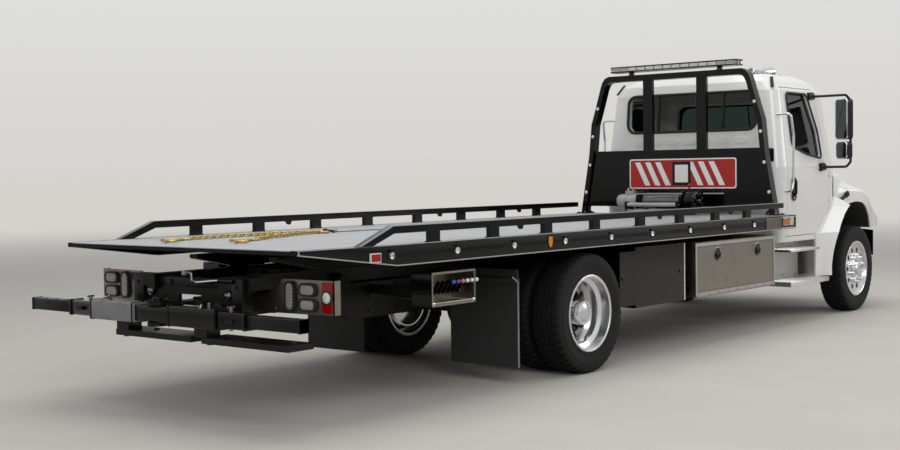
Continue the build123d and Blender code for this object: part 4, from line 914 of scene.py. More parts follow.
@dataclass
class Bed:
    """The carrier bed: ribbed deck, edge beams, channel crossmembers, tube rails and marker lamps."""

    tail: float = -3080.0
    taper: float = -2280.0
    front: float = 3660.0
    half: float = 1220.0
    tail_half: float = 1140.0
    beam: float = 60.0
    top: float = 1110.0
    depth: float = 135.0
    tail_depth: float = 30.0
    rib_pitch: float = 44.0
    cross_pitch: float = 420.0
    cross_count: int = 14
    rail_top: float = 1231.0
    rail_tube: float = 50.0
    rail_out: float = 1212.0
    posts: tuple[float, ...] = (-1890, -1240, -590, 60, 740, 1390, 2030, 2650)
    tabs: tuple[float, ...] = (-910, 1065, 2340)
    lamp_z: float = 1043.0
    lamps: tuple[float, ...] = (-2329, -1676, -1033, -391, 250, 879, 1518, 2143, 2740)

    def share(self, x: float) -> float:
        """Give how far a place lies from the tail, 0, to the taper's end, 1."""
        return min(1.0, max(0.0, (x - self.tail) / (self.taper - self.tail)))

    def edge(self, x: float) -> float:
        """Give the outer face of the beam at a place along the bed."""
        return mix(self.tail_half, self.half, self.share(x))

    def low(self, x: float) -> float:
        """Give the underside of the beam at a place along the bed."""
        return self.top - mix(self.tail_depth, self.depth, self.share(x))

    def deck(self) -> None:
        """Lay ribbed floor planks between plain edge strips."""
        form = Form("bed_floor")
        inner = self.tail_half - self.beam - 3
        count = int(2 * inner / self.rib_pitch)
        pitch = 2 * inner / count
        line = [(-inner, self.top - 6)]
        for i in range(count):
            y = -inner + i * pitch
            deep = 2.2 if i % 4 else 4.2
            line += [(y + 1.5, self.top - deep), (y + 4, self.top), (y + pitch - 4, self.top),
                     (y + pitch - 1.5, self.top - deep)]
        line.append((inner, self.top - 6))
        form.plate(line, "X", (self.tail, self.front), DECK_METAL)
        wide = self.half - self.beam
        strip = [(self.tail, inner + 3), (self.taper, wide), (self.front, wide),
                 (self.front, inner), (self.tail, inner)]
        form.plate(strip, "Z", (self.top - 6, self.top), DECK_METAL)
        form.plate([(x, -y) for x, y in strip], "Z", (self.top - 6, self.top), DECK_METAL)
        form.build("bed", "grey_deck", "bed_deck")

    def frame(self) -> None:
        """Make the edge beams with pale grey painted highlight strips on their edges and ends, the sills
        and the channel crossmembers.
        """
        form = Form("bed_edge_beams")
        rows = (self.tail, self.taper, self.front)
        form.stack([(x, self.edge(x) - self.beam, self.edge(x), self.low(x), self.top) for x in rows], 6,
                   BLACK_ENAMEL)
        # Pale grey strips along the lower and upper edges and on the beams' ends: painted highlights.
        lip = [(x, self.edge(x) - 5, self.edge(x) + 2.5, self.low(x) - 1, self.low(x) + 7) for x in rows]
        form.stack(lip, 2, PAINTED_HIGHLIGHT_EDGE)
        form.stack([(x, self.edge(x) - 6, self.edge(x) + 1.5, self.top - 4, self.top + 1) for x in rows],
                   1.5, PAINTED_HIGHLIGHT_EDGE)
        for x, deep in ((self.tail + 8, 30), (self.front - 6, 128)):
            form.box((x - 5, self.edge(x) - 58, self.top - deep),
                     (x + 5, self.edge(x) + 3, self.top - 2), PAINTED_HIGHLIGHT_EDGE, 1.5)
        form.stack([(self.taper - 300, 360, 440, 991, 1021), (self.taper + 40, 360, 440, 921, 1021),
                    (self.front - 60, 360, 440, 921, 1021)], 8, FRAME_ENAMEL)
        form.mirror()
        for number in range(self.cross_count):
            x = self.front - 100 - number * self.cross_pitch
            half = min(1159.0, self.edge(x) - self.beam)
            form.plate([(x - 30, 1022), (x + 30, 1022), (x + 30, 1029), (x - 22, 1029),
                        (x - 22, 1097), (x + 30, 1097),
                        (x + 30, 1104), (x - 30, 1104)], "Y", (-half, half), FRAME_ENAMEL)
            for y in (-900, -400, 400, 900):
                form.plate([(x - 22, 1029), (x + 26, 1029), (x - 22, 1090)], "Y",
                           (y - 4, y + 4), FRAME_ENAMEL)
        tail_inside = self.tail_half - self.beam
        form.stack([(self.tail, -tail_inside, tail_inside, 1080, 1105),
                    (self.tail + 80, -tail_inside, tail_inside, 1080, 1105)], 4, BLACK_ENAMEL)
        form.box((self.front - 20, -1159, 975), (self.front, 1159, 1104), BLACK_ENAMEL, 4)
        form.build("bed", "black_paint", "bed_frame")

    def rails(self) -> None:
        """Run a low tube rail on posts along each side, with small hook tabs under it."""
        form = Form("bed_side_rails")
        end = 3399.0
        low = self.rail_top - self.rail_tube
        inner = self.rail_out - self.rail_tube
        form.plate([(-2630, self.top), (-2310, self.rail_top), (end, self.rail_top),
                    (end, low), (-2298, low),
                    (-2500, self.top)], "Y", (inner, self.rail_out), BLACK_ENAMEL, 7)
        # A pale grey strip on the rail's top: a painted highlight standing in for the sky's reflection on
        # the gloss.
        form.plate([(-2622, self.top + 3.5), (-2308, self.rail_top + 0.8), (end, self.rail_top + 0.8),
                    (end, self.rail_top - 4), (-2306, self.rail_top - 4), (-2604, self.top + 3.5)], "Y",
                   (self.rail_out - 6, self.rail_out + 0.8), PAINTED_HIGHLIGHT_EDGE, 1.5)
        for x in self.posts:
            form.box((x - 49, inner + 8, self.top - 2),
                     (x + 49, self.rail_out - 1, low + 6), BLACK_ENAMEL, 5)
            form.box((x - 58, inner + 2, self.top - 1),
                     (x + 58, self.rail_out, self.top + 5), BLACK_ENAMEL, 2)
        for x in self.tabs:
            form.plate([(x - 36, low + 2), (x + 36, low + 2), (x + 20, low - 26),
                        (x + 6, low - 30), (x - 14, low - 26)],
                       "Y", (inner + 18, inner + 32), BLACK_ENAMEL, 3)
        form.mirror()
        form.build("bed", "black_paint", "side_rails")

    def side_lamp(self, form: Form, x: float) -> None:
        """Set one clear round marker lamp in a rubber ring on the beam.

        Args:
            form: The mesh of the piece.
            x: Its place along the truck.
        """
        y = self.edge(x) - 1
        form.lathe([(35, -3), (35, 4), (31, 8), (26, 9), (23, 6), (23, -3)], (x, y, self.lamp_z), (0, 1, 0),
                   FLAP_RUBBER, 28, hollow=True)
        form.lathe([(24, 0), (24, 1.5), (18, 2.5), (0, 1)], (x, y, self.lamp_z), (0, 1, 0), CHROME, 24)
        form.lathe([(23.5, 2), (23.5, 7), (20, 11), (12, 14), (0, 15)], (x, y, self.lamp_z),
                   (0, 1, 0), CLEAR_LENS, 24)
        form.plate([(x - 33, self.lamp_z + 27), (x - 20, self.lamp_z + 39), (x + 20, self.lamp_z + 39),
                    (x + 33, self.lamp_z + 27)], "Y", (y, y + 14), BLACK_ENAMEL, 2)

    def markers(self) -> None:
        """Dress the beams' outer faces with lamps, reflectors and the finned panel by the cab."""
        form = Form("beam_lamps")
        for x in self.lamps:
            self.side_lamp(form, x)
        y = self.edge(-2467)
        form.box((-2516, y - 8, 1006), (-2418, y + 6, 1066), LAMP_BODY, 4)
        form.box((-2508, y - 2, 1013), (-2426, y + 10, 1059), RED_LENS, 4)
        y = self.half
        shield = [(-616, 1092), (-606, 1096), (-558, 1096), (-548, 1092), (-546, 1040),
                  (-560, 1008), (-582, 992), (-604, 1008), (-618, 1040)]
        form.plate(shield, "Y", (y - 1, y + 3), AMBER_REFLECTOR, 1)
        form.hoop([(x, z) for x, z in shield],
                  [(-582 + (x + 582) * 0.8, 1046 + (z - 1046) * 0.82) for x, z in shield],
                  "Y", (y, y + 5), BLACK_ENAMEL, 0.8)
        form.box((2984, y - 2, 984), (3317, y + 3, 1092), STAINLESS, 2)
        for i in range(13):
            x = 2998 + i * 25.4
            form.box((x - 8, y + 2, 992), (x + 8, y + 11, 1084), STAINLESS, 3)
        form.box((3335, y - 2, 990), (3652, y + 3, 1096), BLACK_ENAMEL, 2)
        form.box((3372, y + 1, 1010), (3482, y + 5, 1088), LAMP_BODY, 3)
        form.box((3380, y + 3, 1017), (3474, y + 14, 1081), AMBER_LENS, 6)
        form.box((3508, y + 1, 1010), (3590, y + 5, 1088), LAMP_BODY, 3)
        form.box((3515, y + 3, 1016), (3583, y + 13, 1082), CLEAR_LENS, 6)
        for z in (988, 1093):
            form.box((3330, y, z - 3), (3656, y + 6, z + 3), LAMP_BODY, 1)
        form.mirror()
        form.build("bed", "lamp_plastic")

    def build(self) -> None:
        """Make the bed's pieces."""
        self.deck()
        self.frame()
        self.rails()
        self.markers()


@dataclass
class Headboard:
    """The cab guard: box-tube hoop, bars, lower panel with a striped board, reflectors and lamp bar."""

    x_low: float = 3400.0
    x_high: float = 3500.0
    outer: tuple[tuple[float, float], ...] = (
        (1125, 1110), (1017, 1735), (985, 2060), (940, 2200), (868, 2440), (846, 2500),
        (815, 2540), (770, 2560))
    inner: tuple[tuple[float, float], ...] = (
        (1073, 1110), (965, 1735), (934, 2050), (890, 2188), (820, 2420), (802, 2462),
        (782, 2486), (744, 2498))
    reflectors: tuple[float, ...] = (1336, 1628, 1931, 2226)

    def guard(self) -> None:
        """Make the hoop, its bars, feet and lower panel."""
        form = Form("cab_guard")
        line = list(self.outer) + [(-y, z) for y, z in reversed(self.outer)]
        back = list(self.inner) + [(-y, z) for y, z in reversed(self.inner)]
        form.plate(line + list(reversed(back)), "X", (self.x_low, self.x_high), BLACK_ENAMEL, 9)
        form.plate([(-1082, 1200), (-987, 1760), (987, 1760), (1082, 1200)], "X",
                   (3430, 3440), BLACK_ENAMEL, 2)
        form.box((3418, -990, 1742), (3452, 990, 1772), BLACK_ENAMEL, 5)
        form.box((3422, -1078, 1188), (3450, 1078, 1214), BLACK_ENAMEL, 5)
        for sign in (1, -1):
            form.side_box(sign, (3430, 255, 1750), (3470, 365, 2515), BLACK_ENAMEL, 10)
            form.side_box(sign, (3360, 1045, 1110), (3540, 1158, 1122), BLACK_ENAMEL, 3)
            for x in (3378, 3522):
                for y in (1064, 1140):
                    form.bolt((x, sign * y, 1122), (0, 0, 1), 10, STAINLESS)
            form.plate([(sign * 1068, 1122), (sign * 1068, 1190), (sign * 1000, 1122)], "X",
                       (3425, 3433), BLACK_ENAMEL, 2)
        for y in (-1020, -700, -350, 0, 350, 700, 1020):
            form.bolt((3430, y, 1222), (-1, 0, 0), 8, FRAME_ENAMEL)
        form.build("bed", "black_paint", "headboard")

    def board(self) -> None:
        """Fix a striped board of a plain layout of its own, and white reflectors."""
        form = Form("warning_board")
        low, high, bottom, top = -700.0, 530.0, 1372.0, 1680.0
        middle = (low + high) / 2
        form.plate(rounded(high - low, top - bottom, 24, about=(middle, (bottom + top) / 2)), "X",
                   (3426, 3431), BOARD_WHITE, 1)
        form.plate(rounded(high - low - 26, top - bottom - 26, 16, about=(middle, (bottom + top) / 2)), "X",
                   (3424.5, 3427), BOARD_RED, 0.5)
        bottom, top = bottom + 34, top - 34
        for start in (-575, -455, -335, 40, 160, 280):
            form.plate([(start, bottom), (start + 62, bottom), (start + 182, top), (start + 120, top)], "X",
                       (3423, 3425), BOARD_WHITE, 0.5)
        form.plate(rounded(210, top - bottom, 10, about=(-85, (bottom + top) / 2)), "X",
                   (3422.5, 3425), BLACK_PLASTIC, 0.8)
        form.plate(rounded(150, top - bottom - 60, 8, about=(-85, (bottom + top) / 2)), "X",
                   (3421.5, 3423), BOARD_WHITE, 0.5)
        # A thin pale grey strip across the panel: a painted highlight line.
        form.box((3423, -560, 1316), (3431, -330, 1328), PAINTED_HIGHLIGHT_EDGE, 2)
        for z in self.reflectors:
            for sign in (1, -1):
                leg = next(mix(a[0], b[0], (z - a[1]) / (b[1] - a[1]))
                           for a, b in zip(self.outer, self.outer[1:])
                           if a[1] <= z <= b[1])
                form.lathe([(17, -1), (17, 3), (13, 6), (0, 7.5)],
                           (self.x_low + 1, sign * (leg - 26), z), (-1, 0, 0), REFLECTOR_WHITE, 16)
        form.build("bed", "lamp_plastic")

    def lamp_bar(self) -> None:
        """Make the lamp bar: black floor and lid, clear modules, amber at the ends."""
        form = Form("roof_lamp_bar")
        outline = [(3450 + a, b) for a, b in rounded(180, 1480, 58, 6)]
        form.plate(outline, "Z", (2595, 2606), BLACK_PLASTIC, 3)
        form.plate(outline, "Z", (2641, 2652), BLACK_PLASTIC, 4)
        inner = [(3450 + a, b) for a, b in rounded(172, 1472, 54, 6)]
        form.plate(inner, "Z", (2605, 2642), CLEAR_LENS, 1)
        for i in range(14):
            y = -663 + i * 102
            glow = AMBER_LENS if i in (0, 1, 12, 13) else CHROME
            for x, face in ((3384, -1), (3516, 1)):
                form.plate([(x, 2608), (x - face * 26, 2612), (x - face * 26, 2636), (x, 2640)],
                           "Y", (y - 44, y + 44), CHROME, 1)
                for z in (2616, 2624, 2632):
                    form.box((min(x, x + face * 4), y - 40, z - 2.6),
                             (max(x, x + face * 4), y + 40, z + 2.6), glow, 1)
        for y in (-510, 510):
            form.box((3420, y - 30, 2556), (3480, y + 30, 2566), BLACK_PLASTIC, 2)
            form.box((3432, y - 22, 2562), (3468, y + 22, 2598), BLACK_PLASTIC, 3)
            form.bolt((3426, y, 2566), (0, 0, 1), 6, STAINLESS)
        form.build("bed", "lamp_plastic", "lightbar")

    def build(self) -> None:
        """Make the headboard's pieces."""
        self.guard()
        self.board()
        self.lamp_bar()


@dataclass
class Winch:
    """The rope winch: cheeks, wound drum, motor, gear case and roller guide."""

    x: float = 3200.0
    drum_z: float = 1251.0
    rope_r: float = 5.0
    facets: int = 16
    # Radius of a layer, where it starts, how far it runs and how many turns it has.
    layers: tuple[tuple[float, float, float, int], ...] = ((64.5, -212, 424, 40), (74, -206, 270, 25))

    def build(self) -> None:
        """Make the winch."""
        form = Form("rope_winch")
        x, z = self.x, self.drum_z
        for low, high in ((-260, -236), (236, 260)):
            form.plate([(x - 110, 1110), (x - 110, z + 40), (x - 70, z + 92),
                        (x - 20, z + 100), (x + 20, z + 100),
                        (x + 70, z + 92), (x + 110, z + 40), (x + 110, 1110)], "Y",
                       (low, high), BLACK_ENAMEL, 3)
        for dx, dz in ((-88, 70), (88, 70), (-88, -100), (88, -100)):
            form.rod((x + dx, -266, z + dz), (x + dx, 266, z + dz), 11, STAINLESS)
        form.lathe([(58, -236), (58, 236)], (x, 0, z), (0, 1, 0), FRAME_ENAMEL, 32)
        for side in (-1, 1):
            form.lathe([(100, 0), (100, 12), (60, 14), (60, 0)], (x, side * 222, z),
                       (0, side, 0), FRAME_ENAMEL, 40, hollow=True)
        for radius, start, run, turns in self.layers:
            steps = self.facets * turns
            wound = [(x + radius * math.sin(math.tau * t / self.facets), start + run * t / steps,
                      z - radius * math.cos(math.tau * t / self.facets)) for t in range(steps + 1)]
            form.pipe(wound, self.rope_r, ROPE_STEEL, 6)
        form.lathe([(84, 0), (84, 22), (74, 26), (70, 150), (76, 154), (76, 170), (70, 174), (70, 236),
                    (60, 258), (24, 262)], (x, 258, z), (0, 1, 0), GREY_CASTING, 36)
        for i in range(8):
            turn = math.tau * (i + 0.5) / 8
            form.bolt((x + 78 * math.cos(turn), -402, z + 78 * math.sin(turn)), (0, -1, 0), 7, STAINLESS)
            form.bolt((x + 60 * math.cos(turn), 518, z + 60 * math.sin(turn)), (0, 1, 0), 5, STAINLESS)
        form.lathe([(88, 0), (92, 10), (92, 118), (88, 142), (40, 146)], (x, -258, z),
                   (0, -1, 0), BLACK_ENAMEL, 40)
        form.rod((x, -400, z), (x, -428, z), 22, STAINLESS)
        form.box((x - 30, 330, z + 68), (x + 30, 430, z + 104), GREY_CASTING, 5)
        for y in (352, 408):
            form.rod((x, y, z + 100), (x, y, z + 132), 13, ZINC_YELLOW, 6)
        guide = x - 230
        for side in (-1, 1):
            low, high = sorted((side * 282, side * 300))
            form.plate([(guide - 30, 1110), (guide - 30, 1246), (guide + 10, 1252),
                        (x - 108, 1200), (x - 108, 1110)], "Y", (low, high), BLACK_ENAMEL, 3)
        for lift in (-1, 1):
            middle = 1186 + lift * 33
            form.rod((guide, -282, middle), (guide, 282, middle), 20, GREY_CASTING, 24)
            for side in (-1, 1):
                form.bolt((guide, side * 300, middle), (0, side, 0), 11, STAINLESS)
        form.box((x - 118, -300, 1109), (x + 118, 300, 1119), BLACK_ENAMEL, 3)
        for y in (-285, 285):
            form.bolt((x + 90, y, 1119), (0, 0, 1), 9, STAINLESS)
        form.rod((x - 60, -330, z + 86), (x - 60, -330, z + 150), 7, BLACK_PLASTIC)
        form.lathe([(0, -16), (12, -11), (16, 0), (12, 11), (0, 16)], (x - 60, -330, z + 160),
                   (0, 0, 1), BOARD_RED, 14)
        form.build("bed", "black_paint", "winch")


@dataclass
class Rigging:
    """The winch rope of six laid strands, and the chain bridle with its ring and tail hooks."""

    deck: float = 1110.0
    wire: float = 5.2
    link_long: float = 50.0
    link_wide: float = 36.0
    lay_mm: float = 58.0
    strands: int = 6
    strand_circle: float = 3.1
    strand_r: float = 1.9
    route: tuple[tuple[float, float, float], ...] = (
        (3200, 60, 1186), (2970, 75, 1186), (2620, 108, 1166), (2070, 160, 1119), (1700, 190, 1116),
        (-1130, 418, 1116))

    def rope(self) -> None:
        """Lay six strands round the rope's line."""
        form = Form("laid_wire_rope")
        path = [Vector(p) for p in self.route]
        line = [path[0]]
        for before, here, after in zip(path, path[1:], path[2:]):
            one, two = before.lerp(here, 0.7), here.lerp(after, 0.3)
            line += [one, one.lerp(here, 0.5).lerp(here.lerp(two, 0.5), 0.5), two]
        line.append(path[-1])
        fine: list[Vector] = []
        for one, two in zip(line, line[1:]):
            count = max(1, int((two - one).length / 9.0))
            fine += [one.lerp(two, i / count) for i in range(count)]
        frames = form.path_frames(fine)
        for strand in range(self.strands):
            run = 0.0
            points = []
            for i, (place, normal, across) in enumerate(frames):
                if i:
                    run += (place - frames[i - 1][0]).length
                turn = math.tau * (strand / self.strands + run / self.lay_mm)
                lean = math.cos(turn) * normal + math.sin(turn) * across
                points.append(place + self.strand_circle * lean)
            form.pipe(points, self.strand_r, ROPE_STEEL, 5)
        form.build("bed", "rope_steel", "winch_rope")

    def link(self, form: Form, middle: Vector, ahead: Vector, tilt: float) -> None:
        """Add one chain link, tilted about the chain's line.

        Args:
            form: The mesh of the piece.
            middle: The link's middle.
            ahead: The chain's direction.
            tilt: The turn about that direction, in radians.
        """
        flat = ahead.cross(Vector((0, 0, 1))).normalized()
        side = math.cos(tilt) * flat + math.sin(tilt) * flat.cross(ahead)
        straight = (self.link_long - self.link_wide) / 2
        radius = self.link_wide / 2 - self.wire
        points = []
        for i in range(14):
            turn = math.tau * (i + 0.5) / 14
            shift = straight if math.cos(turn) > 0 else -straight
            forward = ahead * (radius * math.cos(turn) + shift)
            points.append(middle + forward + side * radius * math.sin(turn))
        form.pipe(points, self.wire, ZINC_YELLOW, 7, closed=True)

    def chain(self, form: Form, route: Sequence[tuple[float, float]]) -> None:
        """Run a chain along the deck through some (x, y) points.

        Args:
            form: The mesh of the piece.
            route: The (x, y) points.
        """
        path = [Vector((x, y, self.deck + 14)) for x, y in route]
        pitch = self.link_long - 3 * self.wire
        spare = 0.0
        number = 0
        for one, two in zip(path, path[1:]):
            length = (two - one).length
            ahead = (two - one).normalized()
            place = spare
            while place < length:
                sway = 5.0 * math.sin(number * 0.7)
                spot = one + ahead * place + ahead.cross(Vector((0, 0, 1))) * sway
                self.link(form, spot, ahead, 0.62 if number % 2 else -0.72)
                place += pitch
                number += 1
            spare = place - length

    def hook_cluster(self, form: Form, x: float, y: float) -> None:
        """Lay a pear ring with a long tail hook and a short tee hook on the deck.

        Args:
            form: The mesh of the piece.
            x: Its place along the truck.
            y: Its distance left of the middle.
        """
        z = self.deck + 10
        form.pipe([(x + 34 * math.cos(t) - 10, y + 26 * math.sin(t), z)
                   for t in (math.tau * i / 18 for i in range(18))], 7, ZINC_YELLOW, 8, closed=True)
        form.bent([(x - 40, y - 8, z), (x - 190, y - 78, z), (x - 300, y - 130, z + 4),
                   (x - 352, y - 205, z + 6),
                   (x - 318, y - 246, z + 6), (x - 270, y - 222, z + 4)], 9.5, ZINC_YELLOW, 46, 9)
        form.bent([(x - 36, y + 12, z), (x - 100, y + 44, z), (x - 170, y + 52, z + 2),
                   (x - 214, y + 20, z + 4), (x - 196, y - 16, z + 4)], 8, ZINC_YELLOW, 30, 9)
        form.rod((x - 222, y - 22, z + 3), (x - 166, y - 2, z + 3), 7.5, ZINC_YELLOW)
        for dx, dy in ((-40, -8), (-36, 12)):
            form.lathe([(0, -13), (10, -9), (13, 0), (10, 9), (0, 13)], (x + dx, y + dy, z),
                       (1, 0.2, 0), ZINC_YELLOW, 12)

    def bridle(self) -> None:
        """Make the bridle's ring, snap hook, two chain legs and two hook clusters."""
        form = Form("chain_bridle_links")
        x, y = -1300.0, 420.0
        z = self.deck + 11
        form.pipe([(x + 50 * math.cos(t), y + 50 * math.sin(t), z)
                   for t in (math.tau * i / 28 for i in range(28))], 10.5, ZINC_YELLOW, 10, closed=True)
        form.bent([(x + 40, y + 12, z + 14), (x + 66, y + 26, z + 8), (x + 118, y + 22, z + 3),
                   (x + 132, y - 6, z + 2),
                   (x + 100, y - 30, z + 3), (x + 50, y - 22, z + 10), (x + 36, y - 2, z + 20)],
                  8.5, BLACK_ENAMEL, 22, 9)
        form.lathe([(13, 0), (17, 6), (17, 34), (12, 44), (8, 48)], (x + 126, y + 2, z),
                   (1, 0.02, 0), STAINLESS, 14)
        form.rod((x + 60, y + 22, z + 5), (x + 60, y - 20, z + 10), 4, STAINLESS, 8)
        self.chain(form, ((x - 62, y + 52), (-1731, 560), (-2130, 588), (-2470, 560)))
        self.chain(form, ((x - 66, y - 26), (-1560, 372), (-1860, 250), (-2120, 150), (-2300, 52)))
        self.hook_cluster(form, -2500, 560)
        self.hook_cluster(form, -2330, 40)
        form.build("bed", "zinc_yellow", "chain_bridle")

    def build(self) -> None:
        """Make the rope and the bridle."""
        self.rope()
        self.bridle()


@dataclass
class WheelLift:
    """The crossbar with its sleeves, pins and folded arms, and the mast's fittings."""

    x: float = -3215.0
    z: float = 690.0
    reach: float = 1325.0

    def bar(self) -> None:
        """Make the crossbar."""
        form = Form("lift_crossbar")
        x, z = self.x, self.z
        form.beam((x, -860, z), (x, 860, z), 100, 100, 9, BLACK_ENAMEL)
        for side in (-1, 1):
            form.beam((x, side * 850, z), (x, side * self.reach, z), 80, 80, 8, FRAME_ENAMEL)
            form.beam((x, side * 852, z), (x, side * 874, z), 108, 108, 8, BLACK_ENAMEL)
            form.beam((x, side * (self.reach - 10), z), (x, side * self.reach, z), 86, 86, 6, FRAME_ENAMEL)
            for y in (960, 1090, 1210):
                form.rod((x, side * y, z - 43), (x, side * y, z + 43), 12, CAST_IRON)
            form.rod((x, side * 700, z - 66), (x, side * 700, z + 74), 13, STAINLESS)
            form.rod((x - 26, side * 700, z + 78), (x + 26, side * 700, z + 78), 6, STAINLESS)
            form.box((x - 62, side * 750 - 30, z - 12), (x - 46, side * 750 + 30, z + 12), FRAME_ENAMEL, 3)
        form.lathe([(74, -1), (74, 8), (30, 10), (30, 22), (24, 26)], (x, 0, z + 79),
                   (0, 0, 1), BLACK_ENAMEL, 28)
        form.build("crossbar", "black_paint", "crossbar")

    def arms(self) -> None:
        """Make the sleeves on the crossbar and the arms folded under them."""
        form = Form("lift_sleeves_and_arms")
        x, z = self.x, self.z
        for side, skin, arm in ((1, SCUFFED_GREY, (-297, 460)), (-1, BLACK_ENAMEL, (-1169, -397))):
            low, high = sorted((side * 165, side * 630))
            outer = rounded(126, 126, 10, 3)
            inner = rounded(101, 101, 6, 3)
            form.hoop([(x + a, z + b) for a, b in outer], [(x + a, z + b) for a, b in inner],
                      "Y", (low, high), skin, 2)
            for y in (low + 8, high - 20):
                form.hoop([(x + a * 1.06, z + b * 1.06) for a, b in outer],
                          [(x + a, z + b) for a, b in outer], "Y", (y, y + 12), BLACK_ENAMEL, 1)
            form.side_box(side, (x + 20, 330, z - 130), (x + 130, 450, z - 60), BLACK_ENAMEL, 6)
            form.rod((x + 75, side * 415, z - 180), (x + 75, side * 415, z - 48), 22, CAST_IRON, 20)
            low, high = arm
            form.box((x + 20, low, z - 167), (x + 230, high, z - 129), FRAME_ENAMEL, 12)
            for share in (0.12, 0.66, 0.9):
                form.lathe([(20, -2), (20, 6), (14, 9)], (x + 150, mix(low, high, share), z - 129),
                           (0, 0, 1), CAST_IRON, 18)
            form.bent([(x + 6, side * 470, z + 64), (x - 40, side * 480, z + 92),
                       (x - 72, side * 500, z + 66)], 6, STAINLESS, 20, 8)
            form.rod((x, side * 500, z + 55), (x, side * 500, z + 92), 11, STAINLESS)
        form.build("crossbar", "black_paint", "wheel_arms")

    def mast(self) -> None:
        """Add the pins, gussets, hook and bright rod at the mast."""
        form = Form("mast_fittings")
        back = -2980.0
        for side in (-1, 1):
            y = side * 387
            form.lathe([(30, -2), (30, 8), (22, 14), (10, 18)], (back + 20, y, 800),
                       (-1, 0, 0), STAINLESS, 20)
            form.beam((back + 45, side * 490, 640), (back + 45, side * 490, 905), 98, 98, 8,
                      FRAME_ENAMEL, (1, 0, 0))
            form.plate([(side * 536, 800), (side * 536, 912), (side * 640, 912)], "X",
                       (-2948, -2936), FRAME_ENAMEL, 2)
            form.plate([(-2900, 905), (-2640, 905), (-2900, 760)], "Y",
                       (side * 440 - 5, side * 440 + 5), FRAME_ENAMEL, 2)
            for z in (680, 760, 860):
                form.bolt((back - 2, side * 490, z), (-1, 0, 0), 12, FRAME_ENAMEL)
        form.bent([(back - 4, 8, 938), (back - 4, -60, 938), (back - 4, -66, 884), (back - 4, -112, 880)],
                  9, STAINLESS, 14)
        form.box((back - 12, -6, 920), (back + 20, 26, 948), GREY_CASTING, 4)
        form.rod((back - 6, -112, 876), (back - 10, -336, 897), 11, CHROME)
        form.rod((back - 8, -330, 896), (back - 8, -470, 896), 15, BLACK_ENAMEL)
        form.beam((back + 60, -420, 868), (back + 60, 420, 868), 60, 60, 6, FRAME_ENAMEL)
        for y in (-200, 200):
            form.lathe([(17, -2), (17, 10), (11, 14)], (back + 28, y, 868), (-1, 0, 0), CAST_IRON, 16)
        form.build("tilt_frame", "black_paint")

    def boom(self) -> None:
        """Add the wear strips and bolts of the sliding boom."""
        form = Form("boom_wear_strips")
        for side in (-1, 1):
            form.box((-2856, side * 75 - 4, 650), (-2700, side * 75 + 4, 730), BLACK_PLASTIC, 2)
            for x in (-2830, -2730):
                for z in (668, 712):
                    form.bolt((x, side * 79, z), (0, side, 0), 9, STAINLESS)
        form.build("lift_boom", "black_paint")

    def build(self) -> None:
        """Make the wheel lift's pieces."""
        self.bar()
        self.arms()
        self.mast()
        self.boom()


@dataclass
class RearLamps:
    """The tail lamp panels: oval lamps in rubber rings, and the upright reflector on the right."""

    x: float = -2790.0
    tall: tuple[float, float] = (66.0, 168.0)
    flat: tuple[float, float] = (124.0, 62.0)
    reflector: tuple[float, float] = (-1100.0, 808.0)

    def lamp(self, form: Form, y: float, z: float, wide: float, high: float) -> None:
        """Set one pillowed clear lamp in a black rubber ring.

        Args:
            form: The mesh of the piece.
            y: Its distance left of the middle.
            z: Its height over the ground.
            wide: Its width.
            high: Its height.
        """
        ring = rounded(wide + 22, high + 22, min(wide, high) / 2 + 8, 6, about=(y, z))
        inner = rounded(wide - 4, high - 4, min(wide, high) / 2 - 4, 6, about=(y, z))
        form.hoop(ring, inner, "X", (self.x - 20, self.x + 4), FLAP_RUBBER, 4)
        form.plate(inner, "X", (self.x - 8, self.x - 3), CHROME)
        form.plate(inner, "X", (self.x - 17, self.x - 9), SMOKED_LENS, 3)
        rows, columns = (7, 3) if high > wide else (4, 6)
        for i in range(rows):
            for j in range(columns):
                a = (j - (columns - 1) / 2) * (wide - 30) / columns * 1.08
                b = (i - (rows - 1) / 2) * (high - 30) / rows * 1.08
                form.lathe([(9, 0), (8, 3), (4, 5), (0, 5.5)], (self.x - 16, y + a, z + b),
                           (-1, 0, 0), SMOKED_LENS, 8)

    def panel(self, form: Form, side: int, outer: float) -> None:
        """Fold one plate with its arm to the mast post.

        Args:
            form: The mesh of the piece.
            side: 1 on the left, -1 on the right.
            outer: How far out it reaches.
        """
        outline = [(400, 690), (400, 800), (640, 840), (700, 910), (outer, 912), (outer, 700)]
        form.plate([(side * y, z) for y, z in outline], "X", (self.x, self.x + 8), STAINLESS, 2)
        form.side_box(side, (self.x, outer - 3, 700), (self.x + 60, outer, 912), STAINLESS, 1)
        form.box((-2892, side * 490 - 20, 730), (self.x + 2, side * 490 + 20, 790), FRAME_ENAMEL, 4)
        for y, z in ((430, 715), (430, 775), (640, 720), (700, 890), (outer - 20, 725)):
            form.bolt((self.x, side * y, z), (-1, 0, 0), 7, STAINLESS)

    def build(self) -> None:
        """Make both panels, with the lamps where each side has them."""
        form = Form("tail_lamp_panels")
        self.panel(form, -1, 1150)
        self.lamp(form, -780, 806, *self.tall)
        self.lamp(form, -935, 850, *self.flat)
        self.lamp(form, -935, 757, *self.flat)
        form.plate(rounded(78, 190, 14, about=self.reflector), "X", (self.x - 12, self.x + 2), RED_LENS, 4)
        form.lathe([(46, -4), (46, 4), (38, 9), (34, 4), (34, -4)], (self.x - 10, *self.reflector),
                   (-1, 0, 0), FLAP_RUBBER, 28, hollow=True)
        form.lathe([(35, -2), (35, 4), (26, 9), (0, 11)], (self.x - 10, *self.reflector),
                   (-1, 0, 0), WHITE_LENS, 28)
        self.panel(form, 1, 1136)
        self.lamp(form, 1030, 852, *self.flat)
        self.lamp(form, 1030, 757, *self.flat)
        self.lamp(form, 878, 806, *self.tall)
        form.build("tilt_frame", "stainless", "lamp_panels")


